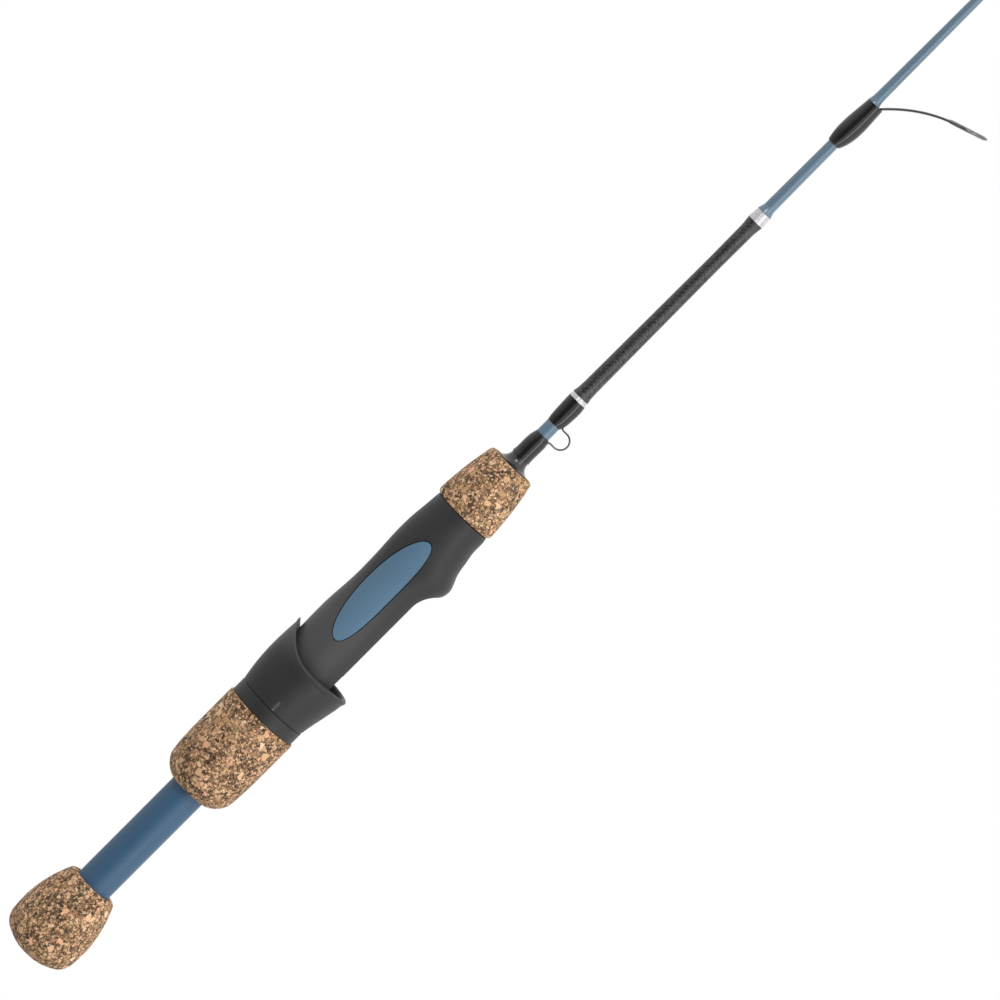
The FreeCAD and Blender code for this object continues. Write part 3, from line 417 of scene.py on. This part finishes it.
def make_silver():
    """Silver thread under a thin coat."""
    made, tree, shader, place = surface("silver_thread", Metallic=0.55)
    glint, _ = noise(tree, place, 2.2, 3.0)
    warm = ramp(tree, glint, [
        (0.3, tint(158, 166, 180)),
        (0.5, tint(204, 204, 208)),
        (0.7, tint(214, 198, 194)),
    ])
    tree.links.new(warm, shader.inputs["Base Color"])
    shader.inputs["Roughness"].default_value = 0.38
    shader.inputs["Coat Weight"].default_value = 0.5
    shader.inputs["Coat Roughness"].default_value = 0.1
    relieve(tree, shader, calc(tree, "MULTIPLY", glint, 0.006))
    return made


def make_foam():
    """The pale foam of the hidden arbors."""
    made, tree, shader, place = surface("arbor_foam", Roughness=0.9)
    (shade, _, _), border = cells(tree, place, 0.4)
    tree.links.new(mixed(tree, shade, tint(196, 186, 160), tint(224, 214, 190)), shader.inputs["Base Color"])
    relieve(tree, shader, calc(tree, "MULTIPLY", border, 0.2))
    return made


def make_floor_white():
    """A pale floor that is seen from above and is clear from below."""
    made, tree, shader, place = surface("pale_floor", Roughness=0.9)
    shade, _ = noise(tree, place, 0.004, 2.0)
    tree.links.new(mixed(tree, shade, tint(246, 246, 246), tint(250, 250, 250)), shader.inputs["Base Color"])
    shader.inputs["Emission Color"].default_value = (1.0, 1.0, 1.0, 1.0)
    shader.inputs["Emission Strength"].default_value = 0.25
    side = tree.nodes.new("ShaderNodeNewGeometry")
    clear = tree.nodes.new("ShaderNodeBsdfTransparent")
    inputs = {0: side.outputs["Backfacing"], 1: shader.outputs[0], 2: clear.outputs[0]}
    mix = add(tree, "ShaderNodeMixShader", inputs)
    output = [item for item in tree.nodes if item.type == "OUTPUT_MATERIAL"][0]
    tree.links.new(mix.outputs[0], output.inputs["Surface"])
    return made


def dress(piece, finish):
    """Give a piece one material."""
    piece.data.materials.clear()
    piece.data.materials.append(finish)


# ---------------------------------------------------------------- turned pieces

# Tolerances for telling a node's outside from its bore: a bend too slight to count, two places taken as one,
# how near the outside a point still belongs to it, and how far outside the bore a sleeve's skin begins.
NO_BEND = 1e-12
SAME_PLACE = 1e-6
NEAR_SKIN = 0.5 * MM
OVER_BORE = 0.15 * MM
# How finely a cork grip is divided, and how often its edges are eased.
GRIP_SPACING = 0.22 * MM
GRIP_AROUND = 340
GRIP_EASING = 12
END_FACE_SPACING = 0.3 * MM
# The same for the sleeve and the bands. The bands' turns of thread are given by a pitch and a depth.
SLEEVE_SPACING = 0.16 * MM
SLEEVE_AROUND = 120
SLEEVE_EASING = 6
BAND_SPACING = 0.05 * MM
BAND_PITCH, BAND_DEPTH = 0.3, 0.03


def half_points(node):
    """Every vertex of a turned CAD node as (place along the rod, distance from the axis)."""
    points = {(round(v.co.x, 6), round(math.hypot(v.co.y, v.co.z), 6)) for v in nodes[node].data.vertices}
    return sorted(points)


def convex_outline(node):
    """The outline of a turned node whose outside is convex: over the outside, then back along the bore."""
    points = half_points(node)
    outside = []
    for point in points:
        while len(outside) > 1:
            (x0, r0), (x1, r1) = outside[-2:]
            if (x1 - x0) * (point[1] - r0) < (r1 - r0) * (point[0] - x0) - NO_BEND:
                break
            outside.pop()
        outside.append(point)
    over = set(outside)
    bore = []
    for point in sorted(points, key=lambda each: (-each[0], -each[1])):
        between_ends = outside[0][0] < point[0] < outside[-1][0]
        on_skin = between_ends and point[1] > np.interp(point[0], *zip(*outside)) - NEAR_SKIN
        if point not in over and not on_skin:
            bore.append(point)
    return outside, bore


def sleeve_outline(node):
    """The outline of a thin sleeve on the blank: over the outside, then back along the bore."""
    points = half_points(node)
    first, last = points[0][0], points[-1][0]
    ends = [min(r for x, r in points if abs(x - end) < SAME_PLACE) for end in (first, last)]
    outside = {}
    for x, r in points:
        if r > np.interp(x, (first, last), ends) + OVER_BORE:
            outside[x] = max(r, outside.get(x, 0.0))
    return sorted(outside.items()), [(last, ends[1]), (first, ends[0])]


def resample(points, spacing):
    """The same line with points at most a spacing apart."""
    dense = []
    for (x0, r0), (x1, r1) in zip(points, points[1:]):
        count = max(1, math.ceil(math.hypot(x1 - x0, r1 - r0) / spacing))
        dense += [(x0 + (x1 - x0) * k / count, r0 + (r1 - r0) * k / count) for k in range(count)]
    return dense + [points[-1]]


def soften(points, passes):
    """The same line with its corners eased, its ends left where they are."""
    line = np.array(points)
    for _ in range(passes):
        line[1:-1] += (line[:-2] + line[2:] - 2 * line[1:-1]) / 4
    return [tuple(point) for point in line]


def mesh_piece(name, points, faces, body):
    """A smooth new piece that rides on a body."""
    mesh = bpy.data.meshes.new(name)
    mesh.from_pydata([tuple(point) for point in points], [], faces)
    mesh.validate()
    mesh.polygons.foreach_set("use_smooth", [True] * len(mesh.polygons))
    piece = bpy.data.objects.new(name, mesh)
    bpy.context.scene.collection.objects.link(piece)
    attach(piece, body)
    return piece


def grid_faces(loops, count):
    """Faces between closed loops of points that themselves close into a ring."""
    faces = []
    for k in range(loops):
        here, there = k * count, (k + 1) % loops * count
        for n in range(count):
            after = (n + 1) % count
            faces.append((here + n, there + n, there + after, here + after))
    return faces


def turned_piece(name, outline, around, body):
    """A piece turned about the rod's axis. Its outline is a loop, unless its ends lie on the axis."""
    on_axis = outline[0][1] == 0
    rings = outline[1:-1] if on_axis else outline
    turns = np.arange(around) * FULL_TURN / around
    points = [(x, r * math.cos(turn), r * math.sin(turn)) for x, r in rings for turn in turns]
    count = len(rings)
    faces = []
    for ring in range(count - 1 if on_axis else count):
        here, there = ring * around, (ring + 1) % count * around
        for k in range(around):
            after = (k + 1) % around
            faces.append((here + k, here + after, there + after, there + k))
    if on_axis:
        points += [(outline[0][0], 0, 0), (outline[-1][0], 0, 0)]
        start, end = count * around, count * around + 1
        last = (count - 1) * around
        for k in range(around):
            after = (k + 1) % around
            faces.append((start, after, k))
            faces.append((end, last + k, last + after))
    return mesh_piece(name, points, faces, body)


def add_relief(piece, name, height_of):
    """Push a piece's surface along its normals by a pattern, with a geometry node modifier."""
    tree = bpy.data.node_groups.new(name, "GeometryNodeTree")
    tree.interface.new_socket("Geometry", in_out="INPUT", socket_type="NodeSocketGeometry")
    tree.interface.new_socket("Geometry", in_out="OUTPUT", socket_type="NodeSocketGeometry")
    start = tree.nodes.new("NodeGroupInput")
    place = scaled(tree, tree.nodes.new("GeometryNodeInputPosition").outputs[0], 1 / MM)
    normal = tree.nodes.new("GeometryNodeInputNormal").outputs[0]
    height = calc(tree, "MULTIPLY", height_of(tree, place), MM)
    offset = scaled(tree, normal, height)
    moved = add(tree, "GeometryNodeSetPosition", {"Geometry": start.outputs[0], "Offset": offset})
    add(tree, "NodeGroupOutput", {0: moved.outputs[0]})
    piece.modifiers.new(name, "NODES").node_group = tree


def make_grip(node, body, cork):
    """A cork grip: the CAD node's own outline with eased edges, dense enough to hold the granules' relief."""
    outside, bore = convex_outline(node)
    skin = soften(resample(outside, GRIP_SPACING), GRIP_EASING)
    if node == "butt_knob":
        end_face = resample([(skin[0][0], END_FACE_SPACING), skin[0]], END_FACE_SPACING)[:-1]
        skin = [(skin[0][0], 0.0)] + end_face + skin
        bore.append((bore[-1][0], 0.0))
    grip = turned_piece(node + "_cork", skin + bore, GRIP_AROUND, body)
    dress(grip, cork)
    add_relief(grip, node + "_relief", cork_height)
    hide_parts(node)


def make_sleeve(node, finish, spacing, height_of):
    """A thin sleeve on the blank with its pattern raised in the geometry."""
    outside, bore = sleeve_outline(node)
    skin = soften(resample(outside, spacing), SLEEVE_EASING)
    sleeve = turned_piece(node + "_woven", skin + bore, SLEEVE_AROUND, "rod")
    dress(sleeve, finish)
    add_relief(sleeve, node + "_relief", height_of)
    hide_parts(node)


# ---------------------------------------------------------------- keeper wraps and clear epoxy

# Outlines in millimetres: place along the rod, radius above the blank, and radius below it, over the wire's
# foot.
KEEPER_REAR = (
    (217.9, 3.5, 3.4),
    (219.4, 3.22, 3.25),
    (223.5, 3.25, 3.35),
    (225.6, 3.05, 3.35),
    (227.6, 2.48, 2.6),
)
KEEPER_FRONT = (
    (232.4, 2.46, 2.6),
    (234.4, 2.82, 3.3),
    (238.0, 3.0, 3.56),
    (240.5, 3.08, 3.62),
    (242.66, 3.14, 3.3),
)
WRAP_BORE = 1.7
WRAP_AROUND = 96
WRAP_RINGS = 90
WRAP_EASING = 60
GUIDES = 5
# A cone of epoxy: rings along it, how hollow its side is, and its wall at the thin end in millimetres.
CONE_RINGS = 24
CONE_HOLLOW = 2.2
CONE_WALL = 0.25
# A bead in front of a guide's wrap: its radius and length against the blank's radius there, how far it starts
# inside the wrap, and how proud its thin end stays, in millimetres.
GUIDE_BEAD_RADIUS = 1.3
GUIDE_BEAD_LENGTH = 1.9
GUIDE_BEAD_START = 0.2
GUIDE_BEAD_END = 0.01


def smooth_values(controls, places):
    """Smooth values near control points, by easing a line through them. The two ends stay where they are."""
    values = np.interp(places, *zip(*controls))
    for _ in range(WRAP_EASING):
        values[1:-1] += (values[:-2] + values[2:] - 2 * values[1:-1]) / 4
    return values


def make_keeper_wrap(node, controls, finish):
    """A wrap of thread under epoxy that tapers onto the blank and swells below, over the keeper's foot."""
    places = np.linspace(controls[0][0], controls[-1][0], WRAP_RINGS)
    above = smooth_values([(place, high) for place, high, low in controls], places)
    below = smooth_values([(place, low) for place, high, low in controls], places)
    points = []
    for k in range(WRAP_AROUND):
        turn = k * FULL_TURN / WRAP_AROUND
        down = max(0.0, -math.cos(turn)) ** 2
        skin = [(place, high + (low - high) * down) for place, high, low in zip(places, above, below)]
        loop = skin + [(places[-1], WRAP_BORE), (places[0], WRAP_BORE)]
        points += [(x * MM, -r * math.sin(turn) * MM, r * math.cos(turn) * MM) for x, r in loop]
    wrap = mesh_piece(node + "_bound", points, grid_faces(WRAP_AROUND, len(places) + 2), "rod")
    dress(wrap, finish)
    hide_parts(node)


def make_epoxy_cone(name, start, first, end, last, finish):
    """A hollow-sided cone of epoxy from a band down to what lies in front of it, in millimetres."""
    steps = np.linspace(0, 1, CONE_RINGS)
    places = [(start + (end - start) * s) * MM for s in steps]
    radii = [(last + (first - last) * (1 - s) ** CONE_HOLLOW) * MM for s in steps]
    bore = (last - CONE_WALL) * MM
    outline = list(zip(places, radii)) + [(end * MM, bore), (start * MM, bore)]
    cone = turned_piece(name, outline, WRAP_AROUND, "rod")
    dress(cone, finish)


def make_guide_bead(number, finish):
    """The bead of epoxy that runs from the front of a guide's wrap onto the blank."""
    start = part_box("guide_%d_wrap" % number)[1].x
    blank = half_points("rod_blank")
    radius = np.interp(start, *zip(*blank)) / MM
    start = start / MM - GUIDE_BEAD_START
    first = GUIDE_BEAD_RADIUS * radius
    end = start + GUIDE_BEAD_LENGTH * radius
    last = radius + GUIDE_BEAD_END
    name = "guide_%d_epoxy" % number
    make_epoxy_cone(name, start, first, end, last, finish)


# ---------------------------------------------------------------- sliding hood

# Sections of the hood in millimetres: distance from its rear face, radius on top and depth below the axis.
HOOD_SECTIONS = np.array((
    (0.0, 12.4, 12.4),
    (3.8, 13.0, 13.05),
    (7.5, 13.45, 13.8),
    (11.6, 13.7, 14.6),
    (15.9, 13.68, 15.35),
    (20.1, 13.55, 15.75),
    (26.6, 13.2, 16.2),
))
# The same for the pocket that takes the reel's foot.
POCKET_SECTIONS = np.array(((9.1, 11.6, 11.6), (16.8, 12.2, 13.95), (27.0, 12.75, 16.0)))
# The mouth is straight at this distance from the rear face, up to a height where an arc sweeps it forward.
# The arc stops short of its full radius, where it would run straight ahead.
HOOD_MOUTH = 16.8
MOUTH_ARC = 15.87
MOUTH_TURN = -1.0
ARC_SPARE = 0.2
MOUTH_PASSES = 12
# The bore, the groove for the nut's flange (start, end, radius), the lip behind it, and the rounding of the
# rear edge.
HOOD_BORE = 11.6
FLANGE_GROOVE = (1.6, 3.3, 10.88)
LIP_BORE = 10.08
HOOD_EDGE = 0.35
# The bead around the mouth, with its height and width in millimetres. The bead's and the groove's places and
# widths are shares of the rim's width, and the groove's depth is a share of the bead's height.
RIM_BEAD = 0.24
RIM_WIDTH = 1.5
RIM_BEAD_PLACE, RIM_BEAD_SPREAD = 0.6, 0.42
GROOVE_PLACE, GROOVE_SPREAD, GROOVE_DEPTH = 1.45, 0.2, 0.2
HOOD_AROUND = 220
# The ticks: their turn from +Z, negative towards -Y, half their length as a turn, and how far they stand
# proud of the hood and reach into it. Each has a place and a width in millimetres, from the hood's rear face.
TICK_TURN = math.radians(-94)
TICK_REACH = math.radians(2.2)
TICK_STEPS = 7
TICK_PROUD = 0.07
TICK_ROOT = -0.1
TICKS = ((0.3, 0.4), (1.2, 0.24), (1.9, 0.24), (2.6, 0.24), (3.3, 0.24))


def circle_reach(top, depth, turn):
    """Distance from the rod's axis to an eccentric circle, in a direction turned from +Z."""
    middle = (top - depth) / 2
    radius = (top + depth) / 2
    return middle * np.cos(turn) + np.sqrt(radius ** 2 - (middle * np.sin(turn)) ** 2)


def hood_outside(along, turn):
    """The hood's outer radius."""
    top, depth = [np.polyval(np.polyfit(HOOD_SECTIONS[:, 0], HOOD_SECTIONS[:, k], 4), along) for k in (1, 2)]
    return circle_reach(top, depth, turn)


def hood_inside(along, turn):
    """The hood's inner radius in front of the flange groove."""
    top, depth = [np.interp(along, POCKET_SECTIONS[:, 0], POCKET_SECTIONS[:, k]) for k in (1, 2)]
    return np.maximum(HOOD_BORE, circle_reach(top, depth, turn))


def mouth_place(height):
    """Where the mouth is, at a height above the axis: straight below, and swept forward above."""
    rise = np.clip(height - MOUTH_TURN, 0.0, MOUTH_ARC - ARC_SPARE)
    return HOOD_MOUTH + MOUTH_ARC - np.sqrt(MOUTH_ARC ** 2 - rise ** 2)


def mouth_along(skin, turn):
    """Where a skin of the hood meets the mouth."""
    along = HOOD_MOUTH
    for _ in range(MOUTH_PASSES):
        along = mouth_place(skin(along, turn) * np.cos(turn))
    return along


def hood_skin(along, front, turn):
    """The hood's outer radius with a raised bead behind the mouth, set off by a shallow groove."""
    back = (front - along) / RIM_WIDTH
    bead = RIM_BEAD * np.exp(-((back - RIM_BEAD_PLACE) / RIM_BEAD_SPREAD) ** 2)
    groove = GROOVE_DEPTH * RIM_BEAD * np.exp(-((back - GROOVE_PLACE) / GROOVE_SPREAD) ** 2)
    return hood_outside(along, turn) + bead - groove


def hood_loop(turn):
    """The hood's cross-section at one turn around the axis, as a loop of (along, radius)."""
    front, back = mouth_along(hood_outside, turn), mouth_along(hood_inside, turn)
    wall = hood_outside(front, turn) - hood_inside(back, turn)
    ease = 0.5 * wall
    plain = front - 2 * RIM_WIDTH
    skin = np.concatenate((np.linspace(HOOD_EDGE, plain, 30), np.linspace(plain, front - ease, 26)[1:]))
    rim = np.linspace(math.pi / 2, -math.pi / 2, 13)[1:-1]
    share = (1 - np.sin(rim)) / 2
    rim_along = (front - ease) * (1 - share) + (back - ease) * share + ease * np.cos(rim)
    edge = hood_skin(front - ease, front, turn)
    middle = (edge + hood_inside(back - ease, turn)) / 2
    half = (edge - hood_inside(back - ease, turn)) / 2
    lining = np.linspace(back - ease, FLANGE_GROOVE[1], 24)
    loop = list(zip(skin, hood_skin(skin, front, turn)))
    loop += list(zip(rim_along, middle + half * np.sin(rim)))
    loop += [(along, hood_inside(along, turn)) for along in lining]
    loop += [(FLANGE_GROOVE[1], FLANGE_GROOVE[2]), (FLANGE_GROOVE[0], FLANGE_GROOVE[2])]
    loop += [(FLANGE_GROOVE[0], LIP_BORE), (0.0, LIP_BORE)]
    rear_edge = hood_outside(HOOD_EDGE, turn) - HOOD_EDGE
    for angle in np.linspace(0, math.pi / 2, 5)[:-1]:
        loop.append((HOOD_EDGE * (1 - math.cos(angle)), rear_edge + HOOD_EDGE * math.sin(angle)))
    return loop


def make_hood(finish):
    """The sliding hood, with a rolled rim around its swept mouth."""
    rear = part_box("sliding_hood")[0].x
    turns = np.arange(HOOD_AROUND) * FULL_TURN / HOOD_AROUND
    loops = [hood_loop(turn) for turn in turns]
    points = [
        (rear + along * MM, -radius * math.sin(turn) * MM, radius * math.cos(turn) * MM)
        for turn, loop in zip(turns, loops) for along, radius in loop
    ]
    hood = mesh_piece("hood_shell", points, grid_faces(HOOD_AROUND, len(loops[0])), "hood")
    dress(hood, finish)
    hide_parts("sliding_hood")


def make_ticks(finish):
    """A short row of plain raised ticks on the hood, ahead of the seam."""
    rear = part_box("sliding_hood")[0].x
    points = []
    faces = []
    for along, width in TICKS:
        first = len(points)
        end = along + width
        section = ((along, TICK_PROUD), (end, TICK_PROUD), (end, TICK_ROOT), (along, TICK_ROOT))
        for k in range(TICK_STEPS):
            turn = TICK_TURN + TICK_REACH * (2 * k / (TICK_STEPS - 1) - 1)
            for place, proud in section:
                radius = (hood_outside(place, turn) + proud) * MM
                points.append((rear + place * MM, radius * math.sin(turn), radius * math.cos(turn)))
        for k in range(TICK_STEPS - 1):
            here, there = first + 4 * k, first + 4 * k + 4
            faces += [(here + n, here + (n + 1) % 4, there + (n + 1) % 4, there + n) for n in range(4)]
        last = first + 4 * (TICK_STEPS - 1)
        faces += [(first + 3, first + 2, first + 1, first), (last, last + 1, last + 2, last + 3)]
    ticks = mesh_piece("hood_ticks", points, faces, "hood")
    ticks.data.polygons.foreach_set("use_smooth", [False] * len(ticks.data.polygons))
    dress(ticks, finish)


# ---------------------------------------------------------------- light, floor and camera

CAMERA_PLACE = Vector((0.380, -2.200, 0.0002))
CAMERA_AIM = Vector((0.20396, 0.0, -0.00482))
CAMERA_ROLL = math.radians(44.855)
CAMERA_LENS = 257.04
CAMERA_SIGHT = 100
FLOOR_HEIGHT = -0.6
FLOOR_REACH = 3.7
# The soft boxes: place, width, height and power. Both face the rod just ahead of the handle.
LIGHT_AIM = (0.25, 0.0, 0.0)
STRIP_LIGHT = ((0.25, -0.5, -0.5), 1.2, 0.14, 1.6)
AHEAD_LIGHT = ((1.21, -1.15, 0.15), 0.42, 0.38, 7.0)


def make_world():
    """White for the camera; for light, a soft surround that is darker behind the camera."""
    world = bpy.data.worlds.new("studio")
    bpy.context.scene.world = world
    world.use_nodes = True
    tree = world.node_tree
    tree.nodes.clear()
    direction = tree.nodes.new("ShaderNodeTexCoord").outputs["Generated"]
    facing = part_of(tree, direction, (0, -1, 0))
    above = ramp(tree, facing, [
        (0.0, grey(0.9)),
        (0.5, grey(0.72)),
        (0.72, grey(0.5)),
        (0.9, grey(0.05)),
    ])
    below = ramp(tree, facing, [
        (0.0, grey(0.75)),
        (0.4, grey(0.45)),
        (0.55, grey(0.1)),
        (0.9, grey(0.04)),
    ])
    height = part_of(tree, direction, (0, 0, 1))
    ahead = part_of(tree, direction, (1, 0, 0))
    level = mixed(tree, step(tree, height, -0.15, 0.1), below, above)
    level = scaled(tree, level, step(tree, ahead, -0.4, 0.3, 0.7, 1.25))
    path = tree.nodes.new("ShaderNodeLightPath")
    colour = mixed(tree, path.outputs["Is Camera Ray"], level, (1.0, 1.0, 1.0, 1.0))
    back = add(tree, "ShaderNodeBackground", {"Color": colour, "Strength": 1.0})
    add(tree, "ShaderNodeOutputWorld", {"Surface": back.outputs[0]})


def make_light(name, place, width, height, power):
    """A soft box that the camera doesn't see."""
    lamp = bpy.data.lights.new(name, "AREA")
    lamp.shape = "RECTANGLE"
    lamp.size, lamp.size_y = width, height
    lamp.energy = power
    holder = bpy.data.objects.new(name, lamp)
    bpy.context.scene.collection.objects.link(holder)
    holder.location = place
    holder.rotation_euler = (Vector(LIGHT_AIM) - Vector(place)).to_track_quat("-Z", "Y").to_euler()
    holder.visible_camera = False


def make_floor():
    """A wide pale floor, far enough below the rod to stay out of the main view."""
    mesh = bpy.data.meshes.new("floor")
    square = ((-1, -1), (1, -1), (1, 1), (-1, 1))
    corners = [(x * FLOOR_REACH, y * FLOOR_REACH, FLOOR_HEIGHT) for x, y in square]
    mesh.from_pydata(corners, [], [(0, 1, 2, 3)])
    floor = bpy.data.objects.new("floor", mesh)
    bpy.context.scene.collection.objects.link(floor)
    dress(floor, make_floor_white())


def make_camera():
    """The camera: beside the rod, ahead of the handle, and rolled so that the rod runs upwards."""
    lens = bpy.data.cameras.new("camera")
    lens.lens = CAMERA_LENS
    lens.clip_end = CAMERA_SIGHT
    camera = bpy.data.objects.new("camera", lens)
    bpy.context.scene.collection.objects.link(camera)
    forward = (CAMERA_AIM - CAMERA_PLACE).normalized()
    up = Vector((math.cos(CAMERA_ROLL), 0.0, math.sin(CAMERA_ROLL)))
    up = (up - forward * up.dot(forward)).normalized()
    right = forward.cross(up)
    turn = Matrix((right, up, -forward)).transposed()
    camera.matrix_world = Matrix.Translation(CAMERA_PLACE) @ turn.to_4x4()
    bpy.context.scene.camera = camera


# ---------------------------------------------------------------- the scene


def dress_cad_nodes(finishes):
    """Give every CAD node that stays visible its material."""
    for node in nodes.values():
        slot = node.data.materials[0].name.split(".")[0]
        dress(node, finishes[slot])


cork = make_cork()
seat_black = make_seat_black()
silver = make_silver()
carbon = make_carbon()
finishes = {
    "cork": cork,
    "tube_lacquer": make_lacquer("tube_lacquer", tint(52, 89, 119), 0.45, 0.0),
    "blank_lacquer": make_lacquer("blank_lacquer", tint(93, 118, 136), 0.3, 0.4),
    "seat_black": seat_black,
    "inlay_blue": make_inlay_blue(),
    "check_rubber": make_lacquer("check_rubber", tint(30, 30, 33), 0.3, 0.5),
    "wrap_black": make_wrap("wrap_black", tint(13, 13, 15), 0.22),
    "guide_metal": make_metal("guide_metal", tint(120, 120, 122), 0.22),
    "ring_liner": make_liner(),
    "bright_trim": silver,
    "carbon_weave": carbon,
    "arbor_foam": make_foam(),
}
dress_cad_nodes(finishes)

make_grip("butt_knob", "rod", cork)
make_grip("rear_grip", "nut", cork)
make_grip("fore_grip", "rod", cork)
make_sleeve("carbon_sleeve", carbon, SLEEVE_SPACING, twill_height)
for band in ("trim_band_rear", "trim_band_front"):
    make_sleeve(band, silver, BAND_SPACING, thread_height(BAND_PITCH, BAND_DEPTH))
make_hood(seat_black)
make_ticks(make_lacquer("tick_paint", tint(112, 112, 114), 0.6, 0.0))
make_keeper_wrap("keeper_wrap_rear", KEEPER_REAR, finishes["wrap_black"])
make_keeper_wrap("keeper_wrap_front", KEEPER_FRONT, finishes["wrap_black"])
make_epoxy_cone("sleeve_epoxy", 244.25, 3.1, 248.2, 2.58, carbon)
make_epoxy_cone("band_epoxy", 324.35, 2.7, 328.2, 1.9, finishes["blank_lacquer"])
for number in range(1, GUIDES + 1):
    make_guide_bead(number, finishes["blank_lacquer"])

make_world()
make_light("strip", *STRIP_LIGHT)
make_light("ahead", *AHEAD_LIGHT)
make_floor()
make_camera()

scene = bpy.context.scene
scene.view_settings.view_transform = "Standard"
